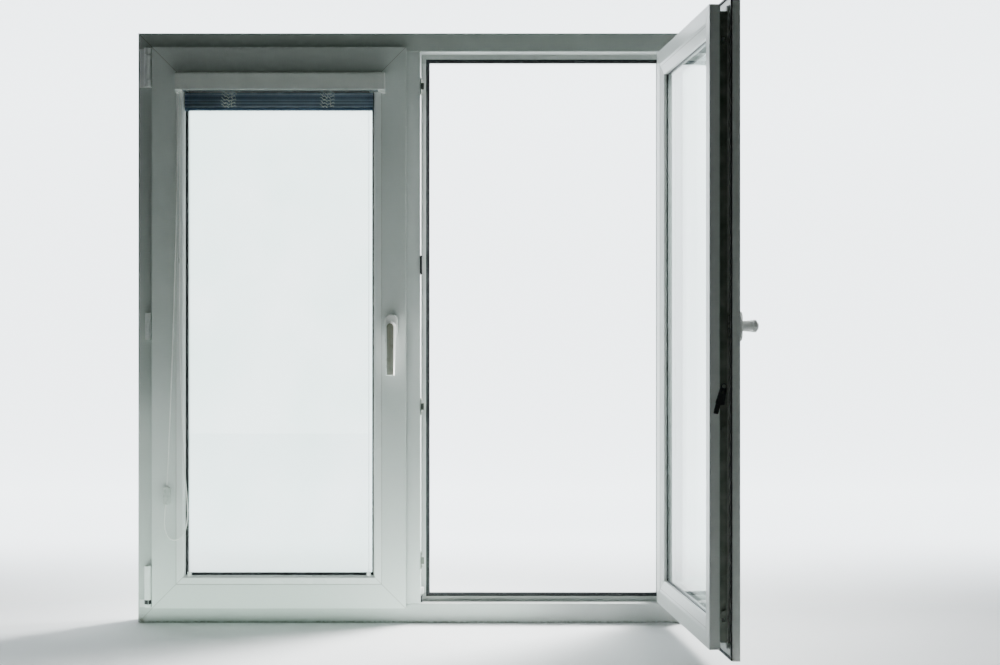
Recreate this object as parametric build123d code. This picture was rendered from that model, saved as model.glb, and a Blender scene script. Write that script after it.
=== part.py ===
from build123d import *
import math
import os

# Two-sash window in moulded plastic profiles: a welded frame with a central
# mullion, two inward-opening sashes and a small slatted blind on the left one.
# X runs to the right seen from the room, Y outwards, Z up. The origin is the
# middle of the frame's bottom face. Millimetres.

# Whole window
window_w = 1300
window_h = 1400
open_angle = 95

# Frame and mullion profile
frame_depth = 60
frame_face = 45
mullion_face = 42
stop_lip_h = 20
stop_lip_t = 17.5
wall_t = 2.8
edge_r = 2.5
steel_in = 14
steel_out = 9.5
bracket_h = 30
seal_lip_w = 6
seal_squeeze = 0.3

# Sash profile
overlap = 8
rebate_gap = 12
seal_gap = 3.5
flange_t = 16
sash_depth = 58
sash_body_w = 37
glass_lip_h = 21
glass_lip_t = 12
bevel_w = 27
bevel_d = 6
bead_w = 19
bead_joint = 0.2
weld_w = 1.4
weld_deep = 0.4
bead_foot_h = 3.5
sash_steel_in = 13.5
sash_steel_out = 2.5

# Hardware groove in the edge of the sash
groove_axis = 13
plate_w = 16
plate_t = 2.5
groove_w = 12
groove_deep = 9
plate_fit = 0.1

# Glazing
pane_t = 4
spacer_t = 16
glazing_seal_t = 3
seal_nose = 3
unit_edge_gap = 5
spacer_h = 6.5
sealant_h = 3
block_len = 100

# Steel stiffeners
steel_t = 1.5
steel_fit = 0.4
steel_setback = 70

# Hinges
axis_out = 11
axis_y = -41
knuckle_r = 8.5
pin_r = 3.5
pin_fit = 0.05
hinge_gap = 1.4
strap_t = 2.5
foot_t = 2
ear_low = 17.5
ear_high = 15
upper_knuckle = 57
upper_hinge_top = 1
leaf_h = 81
bearing_h = 16
bearing_neck_h = 9
bearing_neck_r = 5.5
clamp_z = 703
clamp_h = 64
clamp_w = 14

# Handle and its gear
handle_z = 702
handle_u = 34
rose_w = 31
rose_h = 62
rose_t = 10
lever_below = 114
lever_top_w = 26
lever_tip_w = 20
lever_flat_w = 15.5
lever_rim_t = 4.5
lever_t = 12
lever_out = 44
neck_r = 11
square = 7
gear_module = 1.4
gear_teeth = 14
gear_t = 4.5
hub_r = 6.4
tooth_play = 0.12
gearbox_h = 104
gearbox_in = 12
rod_w = 8
rod_t = 2.5
cam_r = 5
cam_shaft_r = 3
cam_out = 7.5

# Cover plate of the gearbox, on the strip over the rod
cover_h = 51
cover_w = 17
cover_t = 1
cover_screw_r = 1.6
cover_screw_out = 5.8

# Anti-slam lever on the edge of the right sash, swung out at rest
blocker_pin_z = 582
blocker_end_r = 6
blocker_reach = 39
blocker_foot_w = 18
blocker_t = 4.4
blocker_gap = 0.3
blocker_tip_t = 2.6
blocker_tip_w = 9
blocker_tip_out = 3.6
blocker_tip_reach = 57
blocker_hole_down = 12.8
blocker_swing = 13
rivet_r = 2.5
rivet_head_r = 4
rivet_head_t = 0.8

# Striker plates, with the heights of the cams when the handle is down
cam_heights = (147, 513, 1274)
keep_t = 2
keep_h = 40
keep_w = 20
hook_t = 2.5
hook_h = 8
low_hook_h = 3.5
hook_len = 16
screw_r = 2
screw_deep = 8

# Blind on the left sash
rail_x0 = -553.5
rail_x1 = -61.5
rail_z0 = 1257
rail_z1 = 1300
rail_out = 26
rail_wall = 1.2
rail_r = 4
rail_slot = 6
cap_w = 16
cap_wall = 2
tab_w = 9
tab_h = 3
tilt_r = 2.5
drum_r = 6
drum_w = 18
slat_count = 58
slat_w = 14.5
slat_t = 0.25
slat_pitch = 0.58
slat_side_gap = 2
stack_gap = 0.6
bottom_rail_h = 8
ladder_x = (-432, -199)
guide_in = 10
guide_r = 0.5
guide_hole_r = 1.3
cord_slot = 14
cord_d = 2.8
cord_y = -56
cord_fit = 0.05
joiner_x = -546.3
joiner_z = 858

# Fixing to the building
fixing_r = 5
fixing_count = 4
fixing_pitch = 340
drain_len = 24
drain_w = 5
drain_stagger = 60

# Places worked out from the sizes above
y_in = -frame_depth / 2
y_out = frame_depth / 2
y_stop = y_out - stop_lip_t
jamb_x = window_w / 2
half_mullion = mullion_face / 2
sash_x_hinge = jamb_x - frame_face + overlap
sash_x_lock = half_mullion - overlap
sash_z0 = frame_face - overlap
sash_z1 = window_h - sash_z0
flange_w = overlap + rebate_gap
body_u = flange_w + sash_body_w
sight_u = body_u + glass_lip_h
y_flange = y_in - seal_gap
y_room = y_flange - flange_t
y_face = y_room + sash_depth
y_lip = y_face - glass_lip_t
y_glass_out = y_lip - glazing_seal_t
y_glass_in = y_glass_out - 2 * pane_t - spacer_t
y_bead = y_glass_in - glazing_seal_t
unit_u = body_u + unit_edge_gap
y_groove = y_flange + groove_axis
axis_x = sash_x_hinge + axis_out
spindle_x = sash_x_lock + handle_u
gear_r = gear_module * gear_teeth / 2
cam_travel = gear_r * math.pi / 2
rod_u = flange_w + plate_t + 0.2
pitch_u = handle_u - gear_r
steel_y0 = y_in + steel_in
steel_y1 = y_stop - steel_out
fixing_y = (steel_y0 + steel_y1) / 2
upper_z0 = sash_z1 - upper_hinge_top - ear_high - upper_knuckle - ear_low - 2 * hinge_gap
lower_z0 = sash_z0 + 2
left_x0 = -sash_x_hinge
left_x1 = -sash_x_lock
inner_u = flange_w + plate_t + groove_deep + wall_t + 0.2
steel_u1 = body_u - bead_foot_h - wall_t
sash_steel_y0 = y_room + sash_steel_in
sash_steel_y1 = y_lip - sash_steel_out
blocker_x = left_x1 - flange_w + blocker_gap
slat_x0 = left_x0 + body_u + bead_w + slat_side_gap
slat_x1 = left_x1 - body_u - bead_w - slat_side_gap
slat_y = y_bead - 0.75 - slat_w / 2
stack_z0 = rail_z0 - stack_gap - slat_count * slat_pitch
tilt_y = y_room - rail_wall - tilt_r - 0.3
tilt_z = rail_z0 + 12
clip_z = sash_z0 + body_u + bead_w + 0.75


def rect(a0, a1, b0, b1):
    """A flat rectangle between two pairs of limits."""
    return Pos((a0 + a1) / 2, (b0 + b1) / 2) * Rectangle(a1 - a0, b1 - b0)


def block(x0, x1, y0, y1, z0, z1):
    """A solid box between three pairs of limits."""
    place = Pos((x0 + x1) / 2, (y0 + y1) / 2, (z0 + z1) / 2)
    return place * Box(x1 - x0, y1 - y0, z1 - z0)


def rod_y(radius, x, z, y0, y1):
    """A round bar along Y."""
    return Pos(x, (y0 + y1) / 2, z) * Rot(90, 0, 0) * Cylinder(radius, y1 - y0)


def rod_x(radius, y, z, x0, x1):
    """A round bar along X."""
    return Pos((x0 + x1) / 2, y, z) * Rot(0, 90, 0) * Cylinder(radius, x1 - x0)


def rod_z(radius, x, y, z0, z1):
    """A round bar along Z."""
    return Pos(x, y, (z0 + z1) / 2) * Cylinder(radius, z1 - z0)


def ring(section, x0, x1, z0, z1):
    """Frame a rectangle with mitred bars of one section, welded at the corners.

    The section's first axis runs inwards from the outer edge, its second
    axis is Y.
    """
    reach = section.bounding_box().max.X
    depth = max(abs(section.bounding_box().min.Y), abs(section.bounding_box().max.Y)) + 1
    low_plane = Plane(origin=(x1, 0, z0), x_dir=(0, 0, 1), z_dir=(-1, 0, 0))
    low = extrude(low_plane * section, x1 - x0)
    side = extrude(Pos(x0, 0, z0) * section, z1 - z0)
    low &= mitre_wedge((x0, z0), (x1, z0), (x1 - reach, z0 + reach), (x0 + reach, z0 + reach), depth)
    side &= mitre_wedge((x0, z0), (x0 + reach, z0 + reach), (x0 + reach, z1 - reach), (x0, z1), depth)
    high = low.mirror(Plane.XY.offset((z0 + z1) / 2))
    far = side.mirror(Plane.YZ.offset((x0 + x1) / 2))
    return low + side + high + far


def mitre_wedge(a, b, c, d, depth):
    """A four-cornered prism along Y that mitres a bar."""
    face = make_face(Polyline(a, b, c, d, close=True))
    return extrude(Plane.XZ * face, depth, both=True)


def blades(x0, x1, z0, z1, reach, thick, y0, y1):
    """Thin plates on the four mitre lines of a rectangle, up to a depth from its edge."""
    corners = ((x0, z0, -45), (x1, z0, 45), (x0, z1, 45), (x1, z1, -45))
    depth = y1 - y0
    middle = (y0 + y1) / 2
    plate = Box(2 * reach * math.sqrt(2), depth, thick)
    return [Pos(x, middle, z) * Rot(0, turn, 0) * plate for x, z, turn in corners]


def corner_boxes(x0, x1, z0, z1, size, y0, y1):
    """Boxes that square off the ends of the bars of a ring."""
    boxes = []
    for x in (x0, x1 - size):
        for z in (z0, z1 - size):
            boxes.append(block(x, x + size, y0, y1, z, z + size))
    return boxes


def mirrored(shape):
    """The right-hand twin of a left-hand shape."""
    return shape.mirror(Plane.YZ)


# Frame


def frame_section():
    """Chambered profile of the frame, with the stop lip on the outside."""
    outline = rect(0, frame_face, y_in, y_out)
    outline += rect(frame_face, frame_face + stop_lip_h, y_stop, y_out)
    room_corners = outline.vertices().filter_by_position(Axis.Y, y_in - 1, y_in + 1)
    nose_u = frame_face + stop_lip_h
    nose = outline.vertices().filter_by_position(Axis.X, nose_u - 1, nose_u + 1)
    outline = fillet(room_corners + nose, edge_r)
    inner = frame_face - wall_t
    outline -= front_chamber(wall_t, inner)
    outline -= steel_chamber(wall_t, inner)
    return outline - drain_chamber(wall_t, inner, nose_u - wall_t)


def front_chamber(a, b):
    """Narrow chamber behind the room face."""
    return rect(a, b, y_in + wall_t, steel_y0 - wall_t)


def steel_chamber(a, b):
    """Main chamber, which holds the steel."""
    return rect(a, b, steel_y0, steel_y1)


def drain_chamber(a, b, c):
    """Outer chamber, which runs on into the stop lip."""
    chamber = rect(a, b, steel_y1 + wall_t, y_out - wall_t)
    return chamber + rect(a, c, y_stop + wall_t, y_out - wall_t)


def fixing_heights():
    """Heights of the fixing holes in the jambs."""
    first = window_h / 2 - fixing_pitch * (fixing_count - 1) / 2
    return [first + fixing_pitch * step for step in range(fixing_count)]


def fixing_bores():
    """Bores right through both jambs."""
    bores = []
    for z in fixing_heights():
        bores.append(rod_x(fixing_r, fixing_y, z, -jamb_x - 1, -jamb_x + frame_face + 1))
        bores.append(rod_x(fixing_r, fixing_y, z, jamb_x - frame_face - 1, jamb_x + 1))
    return bores


def drain_slots():
    """Slots in the bottom rebate and, staggered from them, in the outer face."""
    near = half_mullion + stop_lip_h + drain_len / 2
    far = jamb_x - frame_face - stop_lip_h - drain_len / 2
    half = drain_len / 2
    y0 = y_stop - 1 - drain_w
    z0 = 3 * wall_t
    slots = []
    for x in (-far, -near, near, far):
        slots.append(block(x - half, x + half, y0, y0 + drain_w, frame_face - 2 * wall_t, frame_face + 1))
    for x in (drain_stagger - far, -near - drain_stagger, near + drain_stagger, far - drain_stagger):
        slots.append(block(x - half, x + half, y_out - 2 * wall_t, y_out + 1, z0, z0 + drain_w))
    return slots


def outer_frame():
    """Welded frame with drain slots and fixing holes."""
    body = ring(frame_section(), -jamb_x, jamb_x, 0, window_h)
    body -= blades(-jamb_x, jamb_x, 0, window_h, frame_face, weld_w, y_in, y_in + weld_deep)
    outer_reach = frame_face + stop_lip_h
    body -= blades(-jamb_x, jamb_x, 0, window_h, outer_reach, weld_w, y_out - weld_deep, y_out)
    body -= fixing_bores()
    body -= drain_slots()
    return body


def mullion_section():
    """Double-lipped profile of the mullion."""
    outline = rect(-half_mullion, half_mullion, y_in, y_out)
    lip_x = half_mullion + stop_lip_h
    outline += rect(-lip_x, lip_x, y_stop, y_out)
    room_corners = outline.vertices().filter_by_position(Axis.Y, y_in - 1, y_in + 1)
    noses = outline.vertices().filter_by(lambda v: abs(v.X) > lip_x - 1)
    outline = fillet(room_corners + noses, edge_r)
    inner = half_mullion - wall_t
    outline -= front_chamber(-inner, inner)
    outline -= steel_chamber(-inner, inner)
    outline -= drain_chamber(-inner, inner, inner)
    return outline - rect(-lip_x + wall_t, lip_x - wall_t, y_stop + wall_t, y_out - wall_t)


def keep_screw_heights():
    """Heights of the two screws of each striker plate."""
    offset = keep_h / 2 - 5
    return [z + side * offset for z in cam_heights for side in (-1, 1)]


def keep_screw_bores():
    """Bores for the striker plate screws in both walls of the mullion."""
    y = y_groove + 5
    inner = half_mullion - screw_deep
    bores = []
    for z in keep_screw_heights():
        bores.append(rod_x(screw_r + pin_fit, y, z, inner, half_mullion + 1))
        bores.append(rod_x(screw_r + pin_fit, y, z, -half_mullion - 1, -inner))
    return bores


def mullion():
    """Mullion, coped over the lips of the frame at both ends."""
    length = window_h - 2 * frame_face
    body = extrude(Pos(0, 0, frame_face) * mullion_section(), length)
    lip_x = half_mullion + stop_lip_h + 1
    lip_end = frame_face + stop_lip_h
    body -= block(-lip_x, lip_x, y_stop, y_out + 1, frame_face - 1, lip_end)
    body -= block(-lip_x, lip_x, y_stop, y_out + 1, window_h - lip_end, window_h)
    return body - keep_screw_bores()


def steel_tube(a, b):
    """Rectangular steel tube that lies against the room side of its chamber."""
    outer = rect(a + steel_fit, b - steel_fit, steel_y0, steel_y1 - steel_fit)
    inner = rect(a + steel_fit + steel_t, b - steel_fit - steel_t, steel_y0 + steel_t,
                 steel_y1 - steel_fit - steel_t)
    return outer - inner


def frame_steel():
    """Four straight tubes in the frame, square-cut, with the fixing holes."""
    bars = ring(steel_tube(wall_t, frame_face - wall_t), -jamb_x, jamb_x, 0, window_h)
    bars -= corner_boxes(-jamb_x, jamb_x, 0, window_h, steel_setback, y_in, y_out)
    bars -= fixing_bores()
    return bars


def mullion_steel():
    """Steel tube in the mullion."""
    inner = half_mullion - wall_t
    z0 = frame_face + bracket_h
    tube = extrude(Pos(0, 0, z0) * steel_tube(-inner, inner), window_h - 2 * z0)
    return tube - keep_screw_bores()


def mullion_brackets():
    """Cast brackets that plug into both ends of the mullion."""
    inner = half_mullion - wall_t
    low = block(-inner, inner, steel_y0, steel_y1 - steel_fit, frame_face, frame_face + bracket_h)
    low -= block(-inner + 4, inner - 4, steel_y0 + 4, steel_y1 - 4, frame_face + 4,
                 frame_face + bracket_h + 1)
    low -= rod_z(screw_r + 1, 0, fixing_y, frame_face - 1, frame_face + 5)
    high = low.mirror(Plane.XY.offset(window_h / 2))
    return [low, high]


def stop_seals():
    """Black seals on the stop lips, round both openings."""
    section = rect(0.5, seal_lip_w, y_face + seal_squeeze, y_stop)
    section = fillet(section.vertices().filter_by_position(Axis.Y, y_face, y_face + 1), 1)
    edge = stop_lip_h - seal_lip_w
    left = ring(
        section,
        -jamb_x + frame_face + edge,
        -half_mullion - edge,
        frame_face + edge,
        window_h - frame_face - edge,
    )
    return [left, mirrored(left)]


# Hinges. All are drawn for the left sash.


def at_axis(sketch, z):
    """Put a plan view, drawn round the hinge axis, at a height."""
    return Pos(-axis_x, axis_y, z) * sketch


def barrel(height, z, bore):
    """A round knuckle with a bore."""
    return extrude(at_axis(Circle(knuckle_r) - Circle(bore), z), height)


def frame_ear(height, z):
    """A knuckle with its foot on the face of the frame."""
    to_frame = y_in - axis_y
    foot = rect(-knuckle_r - 1.5, axis_out - 1.6, to_frame - foot_t, to_frame)
    web = rect(-knuckle_r, knuckle_r, 0, to_frame - foot_t)
    plan = Circle(knuckle_r) + web + foot
    return extrude(at_axis(plan - Circle(pin_r + pin_fit), z), height)


def strap(z, height):
    """Plate from a knuckle through the seal gap to the edge of the sash."""
    near = y_flange - axis_y
    far = near + strap_t
    reach = axis_out + flange_w
    plan = rect(0, reach, near, far) + rect(0, axis_out - 1, near - 4, far)
    plan += rect(reach - strap_t, reach, near, near + groove_axis + plate_w / 2)
    plan = plan - Circle(pin_r + pin_fit)
    return extrude(at_axis(plan, z), height)


def upper_bracket():
    """Upper hinge bracket on the frame, with two ears on one foot."""
    height = ear_low + upper_knuckle + ear_high + 2 * hinge_gap
    low = frame_ear(ear_low, upper_z0)
    high = frame_ear(ear_high, upper_z0 + height - ear_high)
    foot_x = -axis_x - knuckle_r - 1.5
    spine = block(foot_x - 12, foot_x, y_in - foot_t, y_in, upper_z0, upper_z0 + height)
    return low + high + spine


def upper_arm():
    """Upper hinge arm on the sash."""
    z0 = upper_z0 + ear_low + hinge_gap
    body = barrel(upper_knuckle, z0, pin_r + pin_fit)
    return body + strap(z0 + 3, upper_knuckle - 6)


def lower_bracket():
    """Corner bearing on the frame, which carries the weight of the sash."""
    foot_x = -axis_x - knuckle_r - 1.5
    spine = block(foot_x - 12, foot_x, y_in - foot_t, y_in, lower_z0 - 2, lower_z0 + bearing_h)
    body = frame_ear(bearing_h, lower_z0)
    neck_z = lower_z0 + bearing_h - bearing_neck_h
    around = rect(-knuckle_r - 1, knuckle_r + 1, -knuckle_r - 1, y_in - axis_y - foot_t)
    body -= extrude(at_axis(around - Circle(bearing_neck_r), neck_z), bearing_neck_h + 1)
    return body + spine


def lower_leaf():
    """Lower hinge leaf on the sash, closed at the top."""
    z0 = lower_z0 + bearing_h + hinge_gap
    body = extrude(at_axis(Circle(knuckle_r), z0), leaf_h)
    body = fillet(body.edges().filter_by(GeomType.CIRCLE).sort_by(Axis.Z)[-1], 2)
    body += strap(z0 + 6, leaf_h - 14)
    return body - rod_z(pin_r + pin_fit, -axis_x, axis_y, z0 - 1, z0 + 30)


def hinge_pins():
    """Headed pin of the upper hinge and stepped pin of the lower one."""
    top = sash_z1 - upper_hinge_top
    upper = rod_z(pin_r, -axis_x, axis_y, upper_z0 + 1, top)
    upper += rod_z(pin_r + 2, -axis_x, axis_y, top, top + 1.5)
    collar = lower_z0 + bearing_h
    lower = rod_z(pin_r, -axis_x, axis_y, lower_z0, collar + 28)
    lower += rod_z(pin_r + 2, -axis_x, axis_y, collar, collar + hinge_gap / 2)
    pair = [upper, lower]
    return pair + [mirrored(pin) for pin in pair]


def side_clamps():
    """Side clamps at mid height, with a slot for the screwdriver."""
    x0 = -axis_x - clamp_w / 2 - 1
    plate = block(x0, x0 + clamp_w, y_in - 6, y_in, clamp_z - clamp_h / 2, clamp_z + clamp_h / 2)
    plate = fillet(plate.edges().filter_by(Axis.Z).sort_by(Axis.Y)[:2], 1.5)
    slot_x = -axis_x + 1.5
    plate -= block(slot_x - 1.2, slot_x + 1.2, y_in - 7, y_in - 3, clamp_z - 12, clamp_z + 14)
    return [plate, mirrored(plate)]


# Sash. All is drawn for the left sash, closed.


def sash_ring(section):
    """Carry a section round the left sash."""
    return ring(section, left_x0, left_x1, sash_z0, sash_z1)


def sash_section():
    """Chambered sash profile with the flange, groove and glass lip."""
    outline = rect(0, body_u, y_room, y_flange)
    outline += rect(flange_w, body_u, y_room, y_face)
    outline += rect(body_u, sight_u, y_lip, y_face)
    outline -= bevel_cut()
    flange_edge = outline.vertices().filter_by_position(Axis.X, -1, 1)
    nose = outline.vertices().filter_by(lambda v: v.X > sight_u - 1 and v.Y > y_lip + 1)
    outline = fillet(flange_edge, edge_r)
    outline = fillet(nose, 1.5)
    outline = fillet(outline.vertices().filter_by(lambda v: v.X > body_u - 1 and v.Y < y_room + 1), 0.8)
    floor_u = flange_w + plate_t
    half_plate = plate_w / 2 + plate_fit
    outline -= rect(flange_w, floor_u, y_groove - half_plate, y_groove + half_plate)
    outline -= rect(floor_u, floor_u + groove_deep, y_groove - groove_w / 2, y_groove + groove_w / 2)
    outline -= bead_groove(0.15)
    for chamber in sash_chambers():
        outline -= chamber
    return outline


def bevel_cut():
    """What the sloping band takes off the outer face, beside the glass."""
    start = sight_u - bevel_w
    return make_face(Polyline((start, y_face), (sight_u + 1, y_face - bevel_d * (bevel_w + 1) / bevel_w),
                              (sight_u + 1, y_face + 1), (start, y_face + 1), close=True))


def lip_chamber():
    """Chamber of the glass lip, under the sloping band."""
    a = body_u + wall_t
    b = sight_u - 2 * wall_t
    low = y_lip + wall_t
    fall = bevel_d / bevel_w
    top_a = y_face - fall * (a - sight_u + bevel_w) - wall_t
    top_b = y_face - fall * (b - sight_u + bevel_w) - wall_t
    return make_face(Polyline((a, low), (b, low), (b, top_b), (a, top_a), close=True))


def bead_groove(extra):
    """Undercut groove that the foot of the bead snaps into."""
    y0 = y_room + 8
    foot = rect(body_u - bead_foot_h - extra, body_u, y0 - extra, y0 + 3 + extra)
    return foot + rect(body_u - bead_foot_h - extra, body_u - bead_foot_h + 1, y0 - 1 - extra,
                       y0 + 3 + extra)


def sash_chambers():
    """Hollow chambers of the sash profile."""
    side_u = flange_w + plate_t + groove_deep
    return (
        rect(wall_t, flange_w - wall_t, y_room + wall_t, y_flange - wall_t),
        rect(flange_w, side_u, y_room + wall_t, y_groove - groove_w / 2 - wall_t),
        rect(flange_w + wall_t, side_u, y_groove + groove_w / 2 + wall_t, y_face - wall_t),
        rect(inner_u, steel_u1, y_room + wall_t, sash_steel_y0 - wall_t),
        rect(inner_u, steel_u1, sash_steel_y0, sash_steel_y1),
        rect(inner_u, steel_u1, sash_steel_y1 + wall_t, y_face - wall_t),
        lip_chamber(),
    )


def gearbox_pocket(extra):
    """Space that the gearbox takes in the lock stile."""
    x1 = -sash_x_lock - flange_w - plate_t
    x0 = -spindle_x - gearbox_in - extra
    half = gearbox_h / 2 + extra
    return block(x0, x1, y_groove - groove_w / 2, y_groove + groove_w / 2, handle_z - half,
                 handle_z + half)


def handle_bores(radius, y1):
    """Bore for the spindle and for the two screws beside it."""
    bores = [rod_y(radius, -spindle_x, handle_z, y_room - 1, y1)]
    for z in (handle_z - 21.5, handle_z + 21.5):
        bores.append(rod_y(screw_r + 0.6, -spindle_x, z, y_room - 1, y1))
    return bores


def sash_frame():
    """Welded sash, milled for the gearbox and drained at the bottom."""
    body = sash_ring(sash_section())
    body -= blades(left_x0, left_x1, sash_z0, sash_z1, body_u, weld_w, y_room, y_room + weld_deep)
    body -= blades(left_x0, left_x1, sash_z0, sash_z1, sight_u, weld_w, y_face - weld_deep, y_face)
    body -= gearbox_pocket(0.5)
    body -= handle_bores(square - 1, y_groove)
    for x in (left_x0 + 150, left_x1 - 150):
        body -= block(x - drain_len / 2, x + drain_len / 2, y_face - 8, y_face - 4,
                      sash_z0 + flange_w - 1, sash_z0 + body_u - wall_t)
    return body


def sash_steel():
    """Four galvanised channels in the sash, open towards the groove."""
    a = inner_u + steel_fit
    b = steel_u1 - steel_fit
    y0 = sash_steel_y0
    y1 = sash_steel_y1 - steel_fit
    channel = rect(a, b, y0, y1) - rect(a - 1, b - steel_t, y0 + steel_t, y1 - steel_t)
    bars = sash_ring(channel)
    bars -= corner_boxes(left_x0, left_x1, sash_z0, sash_z1, steel_setback, y_room, y_face)
    bars -= handle_bores(square - 0.5, y_groove)
    return bars


def bead_section():
    """Hollow glazing bead with a snap foot."""
    top = body_u + bead_w
    shape = Polyline(
        (body_u + 0.1, y_room + 0.6), (top - 4, y_room + 0.6), (top, y_room + 5), (top + 1, y_bead),
        (body_u + 0.1, y_bead), (body_u + 0.1, y_room + 0.6),
    )
    outline = make_face(shape)
    outline = fillet(outline.vertices().filter_by(lambda v: v.X > top - 5 and v.Y < y_bead - 1), 1.8)
    outline -= rect(body_u + 2.2, top - 3, y_room + 4.5, y_bead - 2)
    return outline + rect(body_u - bead_foot_h + 0.1, body_u + 0.5, y_room + 8.1, y_room + 10.9)


def beads():
    """Four mitred glazing beads."""
    shape = sash_ring(bead_section())
    return shape - blades(left_x0, left_x1, sash_z0, sash_z1, sight_u + 4, bead_joint, y_room - 1,
                          y_bead + 1)


def pane(y0, edge):
    """A sheet of glass with ground edges."""
    sheet = block(left_x0 + unit_u, left_x1 - unit_u, y0, y0 + pane_t, sash_z0 + unit_u, sash_z1 - unit_u)
    return chamfer(sheet.edges().filter_by(Axis.Y), edge)


def spacer():
    """Aluminium spacer bar with its two shoulders, round the gap between the panes."""
    y0 = y_glass_in + pane_t
    section = rect(unit_u + sealant_h, unit_u + sealant_h + spacer_h, y0, y0 + spacer_t)
    inner = rect(unit_u + sealant_h + 0.6, unit_u + sealant_h + spacer_h - 0.6, y0 + 0.6,
                 y0 + spacer_t - 0.6)
    return sash_ring(section - inner)


def glazing_seals():
    """Seals on both sides of the glass and the overlap seal on the flange."""
    out_seal = rect(sight_u - 8, sight_u + seal_nose - 1.5, y_glass_out, y_lip)
    in_seal = rect(sight_u - 8, sight_u + seal_nose, y_bead, y_glass_in)
    out_seal = fillet(out_seal.vertices().filter_by_position(Axis.X, sight_u, sight_u + 4), 1)
    in_seal = fillet(in_seal.vertices().filter_by_position(Axis.X, sight_u, sight_u + 4), 1)
    return [sash_ring(out_seal), sash_ring(in_seal)]


def overlap_seal():
    """Seal on the back of the flange, notched for the hinge straps."""
    section = rect(1, 6, y_flange, y_in - seal_squeeze)
    section = fillet(section.vertices().filter_by_position(Axis.Y, y_in - 1, y_in), 1)
    shape = sash_ring(section)
    notch = 0.5
    for z, height in strap_spans():
        shape -= block(left_x0 - 1, left_x0 + 8, y_flange - 1, y_in, z - notch, z + height + notch)
    return shape


def strap_spans():
    """Start and height of both hinge straps."""
    upper = (upper_z0 + ear_low + hinge_gap + 3, upper_knuckle - 6)
    lower = (lower_z0 + bearing_h + hinge_gap + 6, leaf_h - 14)
    return (upper, lower)


def setting_blocks():
    """Plastic blocks that carry and square the glass unit."""
    y0 = y_glass_in
    y1 = y_glass_out
    x0 = left_x0 + unit_u
    x1 = left_x1 - unit_u
    z0 = sash_z0 + unit_u
    z1 = sash_z1 - unit_u
    gap = unit_edge_gap
    return [
        block(x0 + 60, x0 + 60 + block_len, y0, y1, z0 - gap, z0),
        block(x1 - 60 - block_len, x1 - 60, y0, y1, z0 - gap, z0),
        block(x1, x1 + gap, y0, y1, z0 + 60, z0 + 60 + block_len),
        block(x0 - gap, x0, y0, y1, z1 - 60 - block_len, z1 - 60),
    ]


# Lock of the sash: handle, gear, rod and cams


def gear_outline():
    """Pinion outline with straight-flanked stub teeth."""
    root = gear_r - 1.15
    tip = gear_r + 1.1
    step = 2 * math.pi / gear_teeth
    slope = math.tan(math.radians(20))
    half_pitch = step / 4 - tooth_play / 2 / gear_r
    points = []
    for tooth in range(gear_teeth):
        middle = tooth * step
        for radius, sign in ((root, -1), (tip, -1), (tip, 1), (root, 1)):
            half = half_pitch - (radius - gear_r) * slope / gear_r
            points.append((radius * math.cos(middle + sign * half),
                           radius * math.sin(middle + sign * half)))
    return make_face(Polyline(*points, close=True))


def pinion(turn):
    """Pinion with hubs and a square hole for the spindle."""
    hole = Rectangle(square + pin_fit, square + pin_fit)
    gear = extrude(gear_outline() - hole, gear_t / 2, both=True)
    hub = extrude(Circle(hub_r) - hole, groove_w / 2 - 1.2, both=True)
    shape = Rot(-90, 0, 0) * (gear + hub)
    return Pos(-spindle_x, y_groove, handle_z) * Rot(0, turn, 0) * shape


def gearbox():
    """Gearbox case with a pocket for the pinion and cheeks beside the rod."""
    x1 = -sash_x_lock - rod_u - rod_t - 0.3
    x0 = -spindle_x - gearbox_in
    half_w = groove_w / 2 - 0.2
    half_h = gearbox_h / 2
    y0 = y_groove - half_w
    y1 = y_groove + half_w
    case = block(x0, x1, y0, y1, handle_z - half_h, handle_z + half_h)
    case = fillet(case.edges().filter_by(Axis.Y).sort_by(Axis.X)[:2], 4)
    face = -sash_x_lock - flange_w - plate_t
    for cheek in (y0, y1 - 1.6):
        case += block(x1 - 1, face, cheek, cheek + 1.6, handle_z - half_h, handle_z + half_h)
    half_gear = gear_t / 2 + 0.25
    case -= rod_y(gear_r + 1.5, -spindle_x, handle_z, y_groove - half_gear, y_groove + half_gear)
    case -= rod_y(hub_r + pin_fit, -spindle_x, handle_z, y0 - 1, y1 + 1)
    return case


def faceplate():
    """Long strip over the rod, slotted for the cams and screwed to the sash."""
    x0 = -sash_x_lock - flange_w - plate_t
    plate = block(x0, x0 + plate_t, y_groove - plate_w / 2, y_groove + plate_w / 2, sash_z0 + 34,
                  sash_z1 - 34)
    plate = fillet(plate.edges().filter_by(Axis.X), 4)
    reach = 2 * cam_travel + cam_shaft_r + 1
    for z in cam_heights:
        plate -= block(x0 - 1, x0 + plate_t + 1, y_groove - cam_shaft_r - 0.3,
                       y_groove + cam_shaft_r + 0.3,
                       z - reach, z + cam_shaft_r + 1)
    for z in (handle_z - 46, handle_z + 46, 250, 420, 880, 1060, 1210, 1298):
        plate -= rod_x(screw_r, y_groove, z, x0 - 1, x0 + plate_t + 1)
    return plate + gear_cover(x0 + plate_t)


def gear_cover(x0):
    """Raised cover on the strip, before the gearbox, with two small screw holes."""
    half = cover_w / 2
    cover = block(x0, x0 + cover_t, y_groove - half, y_groove + half, handle_z - cover_h / 2,
                  handle_z + cover_h / 2)
    cover = chamfer(cover.edges().group_by(Axis.X)[-1], 0.3)
    for y in (y_groove - cover_screw_out, y_groove + cover_screw_out):
        cover -= rod_x(cover_screw_r, y, handle_z, x0, x0 + cover_t + 1)
    return cover


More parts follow.
